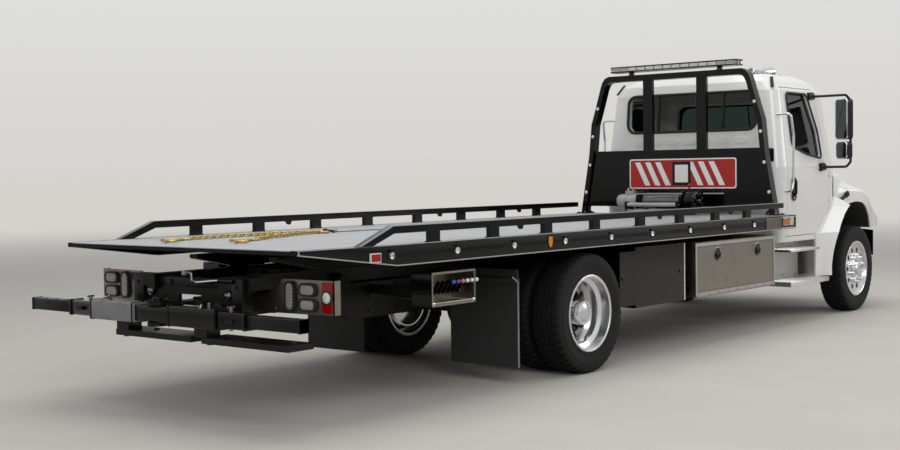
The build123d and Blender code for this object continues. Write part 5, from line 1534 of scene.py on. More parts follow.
def eased(outline: Flat, corner: float, steps: int = 5) -> list[tuple[float, float]]:
    """Round every corner of a closed outline.

    Args:
        outline: Its corners.
        corner: How far each rounding reaches along the sides.
        steps: Facets to a corner.

    Returns:
        The points of the rounded outline.
    """
    points = []
    count = len(outline)
    for i, here in enumerate(outline):
        spot, before, after = Vector(here), Vector(outline[i - 1]), Vector(outline[(i + 1) % count])
        one = spot + (before - spot).normalized() * min(corner, (before - spot).length * 0.45)
        two = spot + (after - spot).normalized() * min(corner, (after - spot).length * 0.45)
        for k in range(steps + 1):
            point = one.lerp(spot, k / steps).lerp(spot.lerp(two, k / steps), k / steps)
            points.append((point.x, point.y))
    return points


@dataclass(frozen=True)
class Skin:
    """Where the cab's outer skin lies, by height."""

    low: float = 1580.0
    high: float = 2360.0

    def side(self, z: float) -> float:
        """Give the half width."""
        return 1040 + (z - 1200) * 5 / 380 if z < self.low else 1045 - (z - self.low) * 90 / 780

    def back(self, z: float) -> float:
        """Give the place of the back wall."""
        return 3735 + (z - self.low) * 55 / 780

    def front(self, y: float, z: float) -> float:
        """Give the place of the bowed front between the pillars.

        Args:
            y: The distance left of the middle.
            z: The height over the ground.

        Returns:
            The place along the truck.
        """
        share = (z - self.low) / (self.high - self.low)
        side, middle, half = mix(5030, 4900, share), mix(5260, 5080, share), mix(1045, 955, share)
        rise = middle - side
        radius = (half * half + rise * rise) / (2 * rise)
        return middle - radius + math.sqrt(radius * radius - y * y)


@dataclass
class Seats:
    """Two seats: crowned cushions with seams and side bolsters on bellows pedestals."""

    middle: float = 480.0
    crown: float = 34.0
    fill: float = 0.75
    bolster: float = 26.0
    bolster_at: float = 0.84
    long_seams: tuple[float, float] = (-0.62, 0.62)
    cross_seams: tuple[float, float] = (-0.33, 0.33)
    rim_from: float = 0.86

    def rise(self, u: float, v: float, thick: float) -> float:
        """Give the height of a cushion's face.

        Args:
            u: Place along it, from -1 to 1.
            v: Place across it, from -1 to 1.
            thick: Its depth before the crown.

        Returns:
            The height over its lower face.
        """
        rise = thick + self.crown * (1 - u ** 4) * (1 - v ** 4)
        rise += self.bolster * math.exp(-((abs(v) - self.bolster_at) / 0.13) ** 2) * (1 - u ** 6)
        for seam in self.long_seams:
            rise -= 13 * math.exp(-((v - seam) / 0.03) ** 2) * (1 - u ** 8)
        for seam in self.cross_seams:
            if abs(v) < self.long_seams[1]:
                rise -= 9 * math.exp(-((u - seam) / 0.03) ** 2)
        edge = max(abs(u), abs(v))
        return rise - thick * 0.42 * max(0.0, (edge - self.rim_from) / 0.14) ** 2

    def cushion(self, name: str, corner: Point, along: Point, wide: float, thick: float,
                piping: bool) -> None:
        """Make one cushion.

        Args:
            name: The piece's name.
            corner: The middle of its first edge, on its lower face.
            along: The run from that edge to the other.
            wide: Its width along Y.
            thick: Its depth before the crown.
            piping: Whether a welt runs round its face.
        """
        form = Form(name)
        start, run = Vector(corner), Vector(along)
        up = run.normalized().cross(Vector((0, 1, 0)))
        if up.x + up.z < 0:
            up = -up
        steps_u, steps_v = 30, 26
        top = []
        for i in range(steps_u + 1):
            row = []
            for j in range(steps_v + 1):
                u, v = 2 * i / steps_u - 1, 2 * j / steps_v - 1
                row.append(start + run * (i / steps_u) + Vector((0, v * wide / 2, 0))
                           + up * self.rise(u, v, thick))
            top.append(row)
        rim = ([(i, 0) for i in range(steps_u)] + [(steps_u, j) for j in range(steps_v)]
               + [(i, steps_v) for i in range(steps_u, 0, -1)] + [(0, j) for j in range(steps_v, 0, -1)])
        verts = [[form.shape.verts.new(p) for p in row] for row in top]
        faces = [form.shape.faces.new((verts[i][j], verts[i + 1][j], verts[i + 1][j + 1], verts[i][j + 1]))
                 for i in range(steps_u) for j in range(steps_v)]
        base = []
        for i, j in rim:
            aside = Vector((0, (2 * j / steps_v - 1) * wide / 2, 0))
            base.append(form.shape.verts.new(start + run * (i / steps_u) + aside))
        for k, (i, j) in enumerate(rim):
            ni, nj = rim[(k + 1) % len(rim)]
            here, there = base[k], base[(k + 1) % len(rim)]
            faces.append(form.shape.faces.new((verts[i][j], verts[ni][nj], there, here)))
        faces.append(form.shape.faces.new(base))
        form.paint(faces, SEAT_CLOTH)
        if piping:
            form.pipe([top[i][j] for i, j in rim][::2], 4.5, BLACK_PLASTIC, 6, closed=True)
        thing = form.build("chassis", "seat_cloth")

    def build(self) -> None:
        """Make both seats."""
        form = Form("seat_pedestals")
        for side in (-1, 1):
            y = side * self.middle
            form.box((4020, y - 180, 880), (4380, y + 180, 905), FRAME_ENAMEL, 5)
            for i in range(7):
                low = 906 + i * 28
                form.plate(rounded(330 - 16 * (i % 2), 330 - 16 * (i % 2), 40, about=(4200, y)), "Z",
                           (low, low + 27), FLAP_RUBBER, 7)
            form.box((4010, y - 190, 1102), (4400, y + 190, 1134), BLACK_PLASTIC, 8)
            form.box((3972, y - 236, 1130), (4470, y + 236, 1150), BLACK_PLASTIC, 8)
            form.plate([(3950, 1180), (3858, 1840), (3880, 1850), (3985, 1180)], "Y",
                       (y - 225, y + 225), BLACK_PLASTIC, 9)
            form.rod((4430, y - 150, 1100), (4500, y - 150, 1108), 7, BLACK_PLASTIC)
            form.beam((3968, y - side * 250, 1160), (3962, y - side * 250, 1330), 34, 60, 8, BLACK_PLASTIC)
            form.beam((3960, y - side * 262, 1320), (4220, y - side * 262, 1345), 46, 40, 16, DASH_PLASTIC)
        form.build("chassis", "dash_plastic", "seats")
        for side, sign in SIDES.items():
            y = sign * self.middle
            self.cushion(f"seat_cushion_{side}", (3985, y, 1150), (490, 0, 8), 490, 62, True)
            self.cushion(f"seat_back_{side}", (3985, y, 1232), (-97, 0, 580), 470, 44, True)


@dataclass
class CabTrim:
    """The cab's rubbers, dividers, wipers, pressings, horns, markers, aerial and steps."""

    skin: Skin = Skin()
    bead: float = 15.0

    def rear(self, form: Form) -> None:
        """Trim the rear window.

        Args:
            form: The mesh of the piece.
        """
        ring = [(self.skin.back(2162 + b) - 3, a, 2162 + b) for a, b in rounded(1502, 392, 92, 6)]
        form.pipe(ring, self.bead, FLAP_RUBBER, 8, closed=True)
        for y in (-378, 378):
            form.beam((self.skin.back(1976) + 4, y, 1976), (self.skin.back(2348) + 4, y, 2348),
                      46, 16, 4, FLAP_RUBBER, (0, 1, 0))
        for i in range(7):
            y, z = -589 + 196.4 * i, 1858
            form.plate(rounded(138, 62, 28, about=(y, z)), "X",
                       (self.skin.back(z) - 9, self.skin.back(z) + 3), WHITE_ENAMEL, 4)
        wall = self.skin.back(1700)
        for side in (-1, 1):
            form.beam((3806, side * 908, 2388), (3884, side * 862, 2492), 34, 16, 6, FLAP_RUBBER, (0, 0, 1))
            form.plate(rounded(90, 140, 16, about=(side * 905, 1700)), "X",
                       (wall - 4, wall + 3), BLACK_PLASTIC, 2)
            for i in range(5):
                form.box((wall - 8, side * 905 - 36, 1646 + i * 24),
                         (wall - 2, side * 905 + 36, 1654 + i * 24), BLACK_PLASTIC, 2)

    def front(self, form: Form) -> None:
        """Trim the windshield and lay the wipers on it.

        Args:
            form: The mesh of the piece.
        """
        outline = eased(((-880, 1640), (880, 1640), (770, 2285), (-770, 2285)), 120, 6)
        dense: list[tuple[float, float]] = []
        for one, two in zip(outline, outline[1:] + outline[:1]):
            count = max(1, int(math.dist(one, two) / 60))
            dense += [(mix(one[0], two[0], k / count), mix(one[1], two[1], k / count))
                      for k in range(count)]
        form.pipe([(self.skin.front(y, z) + 3, y, z) for y, z in dense], self.bead,
                  FLAP_RUBBER, 8, closed=True)
        form.beam((self.skin.front(0, 1660) + 4, 0, 1660), (self.skin.front(0, 2270) + 4, 0, 2270),
                  16, 10, 3, FLAP_RUBBER, (0, 1, 0))
        for pivot in (-560, 120):
            tip = pivot + 470
            form.lathe([(20, -6), (20, 10), (14, 18), (0, 20)],
                       (self.skin.front(pivot, 1614) + 4, pivot, 1612), (1, 0, 0.3), BLACK_PLASTIC, 16)
            form.bent([(self.skin.front(pivot, 1614) + 26, pivot, 1614),
                       (self.skin.front(pivot + 60, 1690) + 34, pivot + 60, 1680),
                       (self.skin.front(tip, 1790) + 24, tip, 1780)], 6, BLACK_PLASTIC, 20, 8)
            ends = ((tip - 270, 1690), (tip + 250, 1905))
            blade = [(mix(ends[0][0], ends[1][0], k / 8), mix(ends[0][1], ends[1][1], k / 8))
                     for k in range(9)]
            form.pipe([(self.skin.front(y, z) + 11, y, z) for y, z in blade], 6, FLAP_RUBBER, 6)

    def roof(self, form: Form) -> None:
        """Set the markers, the twin horns and the aerial on the roof.

        Args:
            form: The mesh of the piece.
        """
        for y in (-620, -310, 0, 310, 620):
            x = 4690 - 90 * (y / 780) ** 2
            form.lathe([(44, -6), (44, 3), (38, 6)], (x - 30, y, 2529), (0, 0, 1), BLACK_PLASTIC, 20)
            form.lathe([(36, 0), (35, 12), (26, 24), (12, 30), (0, 31)], (x - 30, y, 2532),
                       (0, 0, 1), AMBER_LENS, 20)
        back = 4150.0
        for y, long in ((-420, 520), (-520, 430)):
            form.lathe([(16, 0), (18, 40), (16, 46), (17, long * 0.5), (24, long * 0.72),
                        (38, long * 0.9), (60, long), (62, long + 6), (57, long + 6), (34, long * 0.88),
                        (12, long * 0.6), (0, long * 0.55)], (back, y, 2592), (1, 0, 0), CHROME, 24)
            form.lathe([(28, -34), (31, -26), (31, 0), (24, 8)], (back, y, 2592), (1, 0, 0), CHROME, 20)
            for x in (4200, 4200 + long * 0.42):
                form.box((x - 16, y - 18, 2528), (x + 16, y + 18, 2578), CHROME, 4)
        form.lathe([(20, -4), (20, 4), (12, 10), (6, 30), (3, 34), (2, 90), (0, 92)],
                   (4560, 560, 2529), (-0.25, 0, 1), BLACK_PLASTIC, 14)

    def steps(self, form: Form) -> None:
        """Ridge the treads and brighten their edges, then set a thin black plate at the back of the well as
        painted shade in its slot.
        """
        for side in (-1, 1):
            for i in range(8):
                y = side * (918 + i * 29)
                form.beam((3704, y, 752.5), (4366, y, 752.5), 9, 7, 2, POLISHED_ALUMINIUM)
                form.beam((3704, y, 430.5), (4606, y, 430.5), 9, 7, 2, POLISHED_ALUMINIUM)
            for x_end, z in ((4384, 741), (4624, 408)):
                high = 12 if z > 500 else 24
                form.beam((3688, side * 1151, z), (x_end, side * 1151, z), 8, high * 2,
                          3, POLISHED_ALUMINIUM)
            # Painted shade: a thin black plate where the well's slot lies in shadow.
            form.side_box(side, (4440, 893, 450), (4536, 897, 700), BLACK_PLASTIC, 1)
            for x in (3760, 4060, 4360):
                for z in (470, 800):
                    form.bolt((x, side * 892, z), (0, side, 0), 7, STAINLESS)

    def build(self) -> None:
        """Make the cab's trim."""
        form = Form("cab_trim")
        self.rear(form)
        self.front(form)
        self.roof(form)
        form.build("chassis", "black_plastic")
        form = Form("step_trim")
        self.steps(form)
        form.build("chassis", "brushed_aluminium")


@dataclass
class DoorTrim:
    """Each door's window rubber, handle, hinges, lower rub strip and mirror glass."""

    skin: Skin = Skin()
    handle: tuple[float, float] = (4013.0, 1355.0)
    window: tuple[tuple[float, float], ...] = (
        (4004, 2336), (4494, 2336), (4677, 1952), (4712, 1664), (4363, 1705), (4024, 1790))

    def mirror(self, form: Form, low: float, high: float, wide: float) -> None:
        """Rim one mirror head in chrome and glaze it.

        Args:
            form: The mesh of the piece.
            low: Its lower edge.
            high: Its upper edge.
            wide: Its width.
        """
        turn = math.radians(26)
        face = Vector((-math.cos(turn), -math.sin(turn), 0))
        width = Vector((-math.sin(turn), math.cos(turn), 0))
        centre = Vector((4822, 1238, (low + high) / 2)) + face * 38

        def ring(margin: float, out: float) -> list[Vector]:
            """Give the head's outline, smaller by a margin and a way out from its face."""
            shape = rounded(wide - 2 * margin, high - low - 2 * margin, 32 - margin / 2, 5)
            return [centre + width * a + Vector((0, 0, b)) + face * out for a, b in shape]

        form.loft([ring(0, -9), ring(0, 2), ring(4, 6), ring(9, 6), ring(11, 0.5)], CHROME, caps=False)
        form.loft([ring(10, -2), ring(10, 1.5)], MIRROR_GLASS)

    def build(self) -> None:
        """Make both doors' trim."""
        for side, sign in SIDES.items():
            form = Form(f"door_trim_{side}")
            ring = eased(self.window, 60)
            form.pipe([(x, self.skin.side(z) + 1, z) for x, z in ring], 10, FLAP_RUBBER, 8, closed=True)
            cup = rounded(86, 240, 42, 6, about=self.handle)
            y = self.skin.side(self.handle[1])
            form.hoop(cup, rounded(62, 216, 30, 6, about=self.handle), "Y",
                      (y - 2, y + 9), BLACK_PLASTIC, 3)
            form.plate(cup, "Y", (y - 2, y + 2.5), BLACK_PLASTIC, 1)
            form.bent([(4013, y + 2, 1456), (4013, y + 26, 1440), (4013, y + 26, 1310),
                       (4013, y + 2, 1292)], 12, BLACK_PLASTIC, 18, 10)
            form.lathe([(13, 0), (13, 6), (10, 9), (0, 9)], (4013, y + 2, 1262), (0, 1, 0), CHROME, 18)
            for x, z in ((4600, 2314), (4700, 1574)):
                form.plate([(x - 66, z - 42), (x - 66, z + 38), (x + 14, z + 46), (x + 70, z + 18),
                            (x + 70, z - 28)], "Y",
                           (self.skin.side(z) - 14, self.skin.side(z) + 24), BLACK_PLASTIC, 9)
            self.mirror(form, 1860, 2285, 185)
            self.mirror(form, 1655, 1838, 165)
            form.build(f"door_{side}", "black_plastic", flip=sign < 0)


@dataclass
class HoodTrim:
    """The hood's latches, grille mesh and surround, lamps and bumper bar."""

    lamp_at: tuple[float, float] = (685.0, 992.0)
    grille_at: tuple[float, float] = (0.0, 1062.0)
    reach: float = 1010.0
    nose: float = 6420.0
    sweep: float = 205.0

    def lamp(self, form: Form) -> None:
        """Make the left head lamp: dark rim, chrome bowls, clear cover.

        Args:
            form: The mesh of the piece.
        """
        place = rounded(310, 135, 22, 4, about=self.lamp_at)
        form.plate(place, "X", (6292, 6298), BLACK_PLASTIC, 2)
        form.hoop(place, rounded(286, 111, 16, 4, about=self.lamp_at), "X", (6296, 6346), CHROME, 3)
        for y in (615, 755):
            form.lathe([(52, 42), (44, 22), (28, 8), (12, 4), (0, 4)], (6296, y, 992),
                       (1, 0, 0), CHROME, 28)
            form.lathe([(11, 4), (11, 22), (6, 30), (0, 32)], (6296, y, 992), (1, 0, 0), CLEAR_LENS, 14)
        form.plate(rounded(292, 117, 18, 4, about=self.lamp_at), "X", (6338, 6344), CLEAR_LENS, 2)

    def latches(self) -> None:
        """Make the rubber latches and the grille's bright surround."""
        form = Form("hood_trim")
        form.beam((5076, 1060, 1186), (5222, 1100, 1272), 40, 20, 7, FLAP_RUBBER, (0, 1, 0))
        form.beam((5058, 1052, 1176), (5096, 1062, 1198), 52, 26, 8, BLACK_PLASTIC, (0, 1, 0))
        form.beam((5206, 1094, 1262), (5250, 1108, 1290), 58, 30, 9, BLACK_PLASTIC, (0, 1, 0))
        outer = rounded(846, 300, 34, 5, about=self.grille_at)
        form.hoop(outer, rounded(796, 250, 18, 5, about=self.grille_at), "X", (6350, 6374), CHROME, 5)
        form.mirror()
        form.build("hood", "black_plastic")

    def bumper(self) -> None:
        """Make the swept bumper bar with its hangers and bolts."""
        form = Form("front_bumper_bar")
        reach = self.reach
        for high, deep in ((320, 0), (300, -7)):
            rings = []
            for k in range(33):
                y = reach * (k / 16 - 1)
                x = self.nose - self.sweep * (abs(y) / reach) ** 2.2 + deep
                fall = 18 * (abs(y) / reach) ** 6
                rings.append([(x - 5, y, 705 - high / 2 + fall), (x, y, 705 - high / 2 + fall),
                              (x, y, 705 + high / 2 - fall), (x - 5, y, 705 + high / 2 - fall)])
            form.loft(rings, BLACK_ENAMEL if deep == 0 else FRAME_ENAMEL)
        for side in (-1, 1):
            form.side_box(side, (6140, 420, 600), (6385, 432, 790), FRAME_ENAMEL, 3)
            for z in (640, 745):
                form.bolt((6386, side * 470, z), (1, 0, 0), 13, CHROME)
            form.box((6372, side * 470 - 40, 600), (6386, side * 470 + 40, 790), FRAME_ENAMEL, 3)
        form.build("chassis", "black_paint", "front_bumper")

    def grille(self) -> None:
        """Make the upright bars of the grille."""
        form = Form("grille_mesh")
        for i in range(27):
            y = -386 + i * 29.7
            form.beam((6340, y, 944), (6340, y, 1182), 5, 5, 1, BLACK_PLASTIC, (1, 0, 0))
        form.build("hood", "black_plastic")

    def build(self) -> None:
        """Make the hood's trim."""
        self.latches()
        self.bumper()
        self.grille()
        form = Form("headlamp_units")
        self.lamp(form)
        form.mirror()
        form.build("hood", "chrome", "headlamps")


@dataclass
class ToolBoxDoors:
    """Frames, latches and hinge bolts on the tool-box doors."""

    low: tuple[float, float] = (1745.0, 450.0)
    high: tuple[float, float] = (3325.0, 914.0)
    face: float = 1150.0
    latches: tuple[float, float] = (2150.0, 2950.0)
    latch_z: float = 800.0

    def build(self) -> None:
        """Make both doors' dressing."""
        for side, sign in SIDES.items():
            form = Form(f"tool_box_dressing_{side}")
            middle = ((self.low[0] + self.high[0]) / 2, (self.low[1] + self.high[1]) / 2)
            wide, high = self.high[0] - self.low[0], self.high[1] - self.low[1]

            def frame_line(less: float) -> list[tuple[float, float]]:
                """Give the door's outline, smaller by a margin."""
                return rounded(wide - less, high - less, 10, 3, about=middle)

            form.hoop(frame_line(0), frame_line(56), "Y",
                      (self.face - 2, self.face + 2.5), STEP_ALUMINIUM, 1.5)
            form.hoop(frame_line(64), frame_line(70), "Y", (self.face - 2, self.face + 1.2), FLAP_RUBBER)
            for x in self.latches:
                form.lathe([(66, -1), (66, 2), (62, 3), (60, 1)], (x, self.face, self.latch_z),
                           (0, 1, 0), STEP_ALUMINIUM, 36)
                form.lathe([(59, 0), (59, 7), (54, 9.5), (47, 6), (0, 5.5)], (x, self.face, self.latch_z),
                           (0, 1, 0), BLACK_PLASTIC, 36)
                ring = [(x + 34 * math.cos(math.pi * k / 12), self.face + 13,
                         self.latch_z - 34 * math.sin(math.pi * k / 12))
                        for k in range(13)]
                form.pipe(ring, 5, BLACK_ENAMEL, 8)
                form.rod((x - 40, self.face + 12, self.latch_z),
                         (x + 40, self.face + 12, self.latch_z), 7, BLACK_ENAMEL)
                form.lathe([(9, 0), (9, 7), (0, 7)], (x + 34, self.face + 5, 826), (0, 1, 0), CHROME, 14)
            for i in range(9):
                form.bolt((1800 + i * 184, self.face + 2, 463), (0, 1, 0), 6, STAINLESS)
            form.build(f"tool_box_door_{side}", "brushed_aluminium", flip=sign < 0)


@dataclass
class ControlStations:
    """The lever boxes behind the rear wheels: black outside, bright recess, coloured knobs."""

    low: tuple[float, float] = (-1860.0, 670.0)
    high: tuple[float, float] = (-1390.0, 900.0)
    depth: tuple[float, float] = (970.0, 1150.0)
    grab_z: float = 690.0

    def build(self) -> None:
        """Make both stations."""
        form = Form("lever_stations")
        (x_low, z_low), (x_high, z_high) = self.low, self.high
        y_low, y_high = self.depth
        centre = ((x_low + x_high) / 2, (z_low + z_high) / 2)
        wide, high = x_high - x_low, z_high - z_low
        line = {less: rounded(wide - less, high - less, 10, 3, about=centre)
                for less in (-8, 0, 8, 30)}
        form.hoop(line[0], line[8], "Y", (y_low, y_high - 2), BLACK_ENAMEL, 2)
        form.hoop(line[8], line[30], "Y", (y_low + 2, y_high - 3), STAINLESS, 2)
        form.hoop(line[0], line[8], "Y", (y_high - 3, y_high), STAINLESS, 1)
        form.plate(line[0], "Y", (y_low - 4, y_low + 4), BLACK_ENAMEL, 2)
        form.plate(line[30], "Y", (y_low + 3, y_low + 8), STAINLESS)
        knobs = (KNOB_BLUE, KNOB_PURPLE, KNOB_PINK, KNOB_WHITE, KNOB_WHITE, KNOB_WHITE)
        form.box((x_low + 24, y_low + 6, 742), (x_high - 24, y_low + 62, 800), GREY_CASTING, 5)
        for i, knob in enumerate(knobs):
            x = x_low + 150 + 50 * i
            out = (x + 20, y_high + 46, 830)
            form.box((x - 14, y_low + 60, 738), (x + 14, y_low + 70, 790), FRAME_ENAMEL, 3)
            form.beam((x, y_low + 64, 744), (x + 14, y_low + 108, 826), 12, 30, 4, BLACK_ENAMEL)
            form.bent([(x + 12, y_low + 100, 812), (x + 16, y_low + 140, 822), out],
                      6, BLACK_ENAMEL, 18, 10)
            form.lathe([(0, -15), (8, -12), (14, -5), (15, 3), (11, 11), (0, 15)], out,
                       (0, 0.9, 0.2), knob, 18)
        form.rod((x_low + 14, y_high - 14, self.grab_z),
                 (x_high - 14, y_high - 14, self.grab_z), 10, STAINLESS)
        for x in (x_low + 20, x_high - 20):
            form.bent([(x, y_low + 8, self.grab_z), (x, y_high - 14, self.grab_z)], 9, CHROME, 10)
            form.lathe([(14, -14), (16, -8), (16, 8), (14, 14)], (x, y_high - 14, self.grab_z),
                       (1, 0, 0), CHROME, 18)
        form.box((-1700, 432.3, 720), (-1640, y_low, 780), FRAME_ENAMEL, 4)
        for x in (-1790, -1460):
            form.pipe([(x, y_low - 4, 730), (x, y_low - 60, 716), (x + 60, y_low - 110, 705),
                       (x + 130, y_low - 260, 700), (x + 160, 470, 720)], 11, FLAP_RUBBER, 10)
        form.mirror()
        form.build("chassis", "stainless", "control_stations")


@dataclass
class SideTrim:
    """Mud-flap edges, tank fittings, the tail pipe's bright tip and the grab rails' feet."""

    flap: float = -800.0
    tank_at: tuple[float, float] = (796.0, 670.0)
    tank_size: tuple[float, float] = (668.0, 460.0)

    def flaps(self, form: Form) -> None:
        """Edge both mud flaps and bolt them to their bar."""
        for side in (-1, 1):
            form.side_box(side, (self.flap - 8, 1078, 132), (self.flap + 8, 1083, 760), SCUFFED_GREY, 1)
            form.side_box(side, (self.flap - 12, 452, 742), (self.flap - 6, 1080, 790), FRAME_ENAMEL, 1)
            for i in range(5):
                form.bolt((self.flap - 12, side * (500 + i * 135), 766), (-1, 0, 0), 9, CHROME)
            form.beam((self.flap, side * 1082, 756), (self.flap - 70, side * 1082, 800),
                      6, 14, 2, SCUFFED_GREY)

    def tanks(self, form: Form) -> None:
        """Cap and strap the fuel tank, edge the box on the other side, and hang a thin black sheet of
        painted shade over the open gap ahead of the right-hand tool box.

        Args:
            form: The mesh of the piece.
        """
        wide, high = self.tank_size
        for x in (860, 1380):
            outer = rounded(wide + 12, high + 12, 96, 6, about=self.tank_at)
            form.hoop(outer, rounded(wide + 2, high + 2, 91, 6, about=self.tank_at), "X",
                      (x - 30, x + 30), STAINLESS, 2)
            form.bolt((x, 1135, 600), (0, 1, 0), 9, STAINLESS)
        form.lathe([(58, -6), (58, 8), (52, 12), (52, 34), (46, 42), (0, 43)],
                   (1120, 1040, 884), (0, 0.45, 0.9), POLISHED_ALUMINIUM, 30)
        for i in range(10):
            turn = math.tau * i / 10
            form.rod((1120 + 50 * math.cos(turn), 1040 + 46 * math.sin(turn), 898 - 20 * math.sin(turn)),
                     (1120 + 50 * math.cos(turn), 1051 + 46 * math.sin(turn), 918 - 20 * math.sin(turn)), 5,
                     POLISHED_ALUMINIUM, 8)
        form.box((1588, -1123, 432), (1606, -1096, 928), POLISHED_ALUMINIUM, 3)
        # Painted shade: a thin black sheet across the open gap between the rear wheel and the tool box,
        # where the frame lies in shadow.
        form.box((536, -1121.5, 458), (1566, -1117, 902), BLACK_ENAMEL, 2)
        for x, z in ((580, 690), (1520, 690)):
            form.lathe([(20, -2), (20, 5), (15, 8), (0, 8)], (x, -1121, z), (0, -1, 0), BLACK_PLASTIC, 20)

    def pipe_tip(self, form: Form) -> None:
        """Sleeve the tail pipe's end in chrome."""
        form.lathe([(37, 0), (44, 4), (46, 90), (47, 112), (43, 112), (41, 90), (36, 20)],
                   (690, -1000, 550.1), (0, -0.995, 0.098), CHROME, 28, hollow=True)

    def build(self) -> None:
        """Make the side trim."""
        for name, slot, make in (("flap_edges", "stainless", self.flaps),
                                 ("tank_trim", "brushed_aluminium", self.tanks),
                                 ("tail_pipe_tip", "chrome", self.pipe_tip)):
            form = Form(name)
            make(form)
            form.build("chassis", slot)


@dataclass
class Chassis:
    """What shows under and beside the rails: U-bolts, brake chambers, air tanks, hoses and rail bolts."""

    rail: float = 432.0

    def springs(self, form: Form) -> None:
        """Clamp each spring with two U-bolts and a top plate."""
        for x, y, low, high, half in ((0, 488, 388, 640, 52), (FRONT_AXLE, 389, 395, 560, 50)):
            for step in (-62, 62):
                form.bent([(x + step, y - half, low), (x + step, y - half, high),
                           (x + step, y + half, high), (x + step, y + half, low)], 9, CAST_IRON, 24, 8)
                for edge in (-half, half):
                    form.bolt((x + step, y + edge, low - 2), (0, 0, -1), 14, CAST_IRON)

    def brakes(self, form: Form) -> None:
        """Hang a brake chamber behind each rear wheel end and lay its hoses.

        Args:
            form: The mesh of the piece.
        """
        profile = [(30, -70), (62, -64), (74, -40), (78, -8), (82, -6), (82, 6), (78, 8),
                   (74, 44), (58, 66), (20, 70)]
        form.lathe(profile, (-215, 560, 470), (1, 0, 0.15), FRAME_ENAMEL, 26)
        form.rod((-150, 560, 480), (-40, 585, 470), 8, STAINLESS)
        for drop in (-22, 22):
            form.pipe([(-270, 560 + drop, 500), (-320, 540 + drop, 560),
                       (-330, 460 + drop, 640), (-300, 440, 700), (-200, 438, 720)], 7, FLAP_RUBBER, 8)

    def rails(self, form: Form) -> None:
        """Bolt the rails where crossmembers and brackets meet them, and hang an air tank inside.

        Args:
            form: The mesh of the piece.
        """
        for x in (-1700, -1400, -620, 620, 1690, 2600, 3500, 4450, 5000):
            for z in (600, 700, 760):
                form.bolt((x, self.rail, z), (0, 1, 0), 11, FRAME_ENAMEL)
        form.lathe([(40, -330), (92, -316), (108, -270), (108, 270), (92, 316), (40, 330)],
                   (2250, 215, 610), (1, 0, 0), FRAME_ENAMEL, 30)
        for x in (2090, 2410):
            form.lathe([(109, -16), (112, -14), (112, 14), (109, 16)], (x, 215, 610),
                       (1, 0, 0), STAINLESS, 30)
            form.box((x - 18, 300, 600), (x + 18, 424, 626), FRAME_ENAMEL, 3)

    def build(self) -> None:
        """Make the chassis details on both sides."""
        form = Form("chassis_details")
        self.springs(form)
        self.brakes(form)
        self.rails(form)
        form.mirror()
        form.build("chassis", "cast_iron")


def dress_nodes() -> None:
    """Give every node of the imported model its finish."""
    for name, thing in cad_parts.items():
        finish = NODE_FINISHES.get(name) or NODE_FINISHES[name.rsplit("_", 1)[0]]
        thing.data.materials.clear()
        thing.data.materials.append(finish.material())
        LOG.info("node %s: %s", name, finish.name)


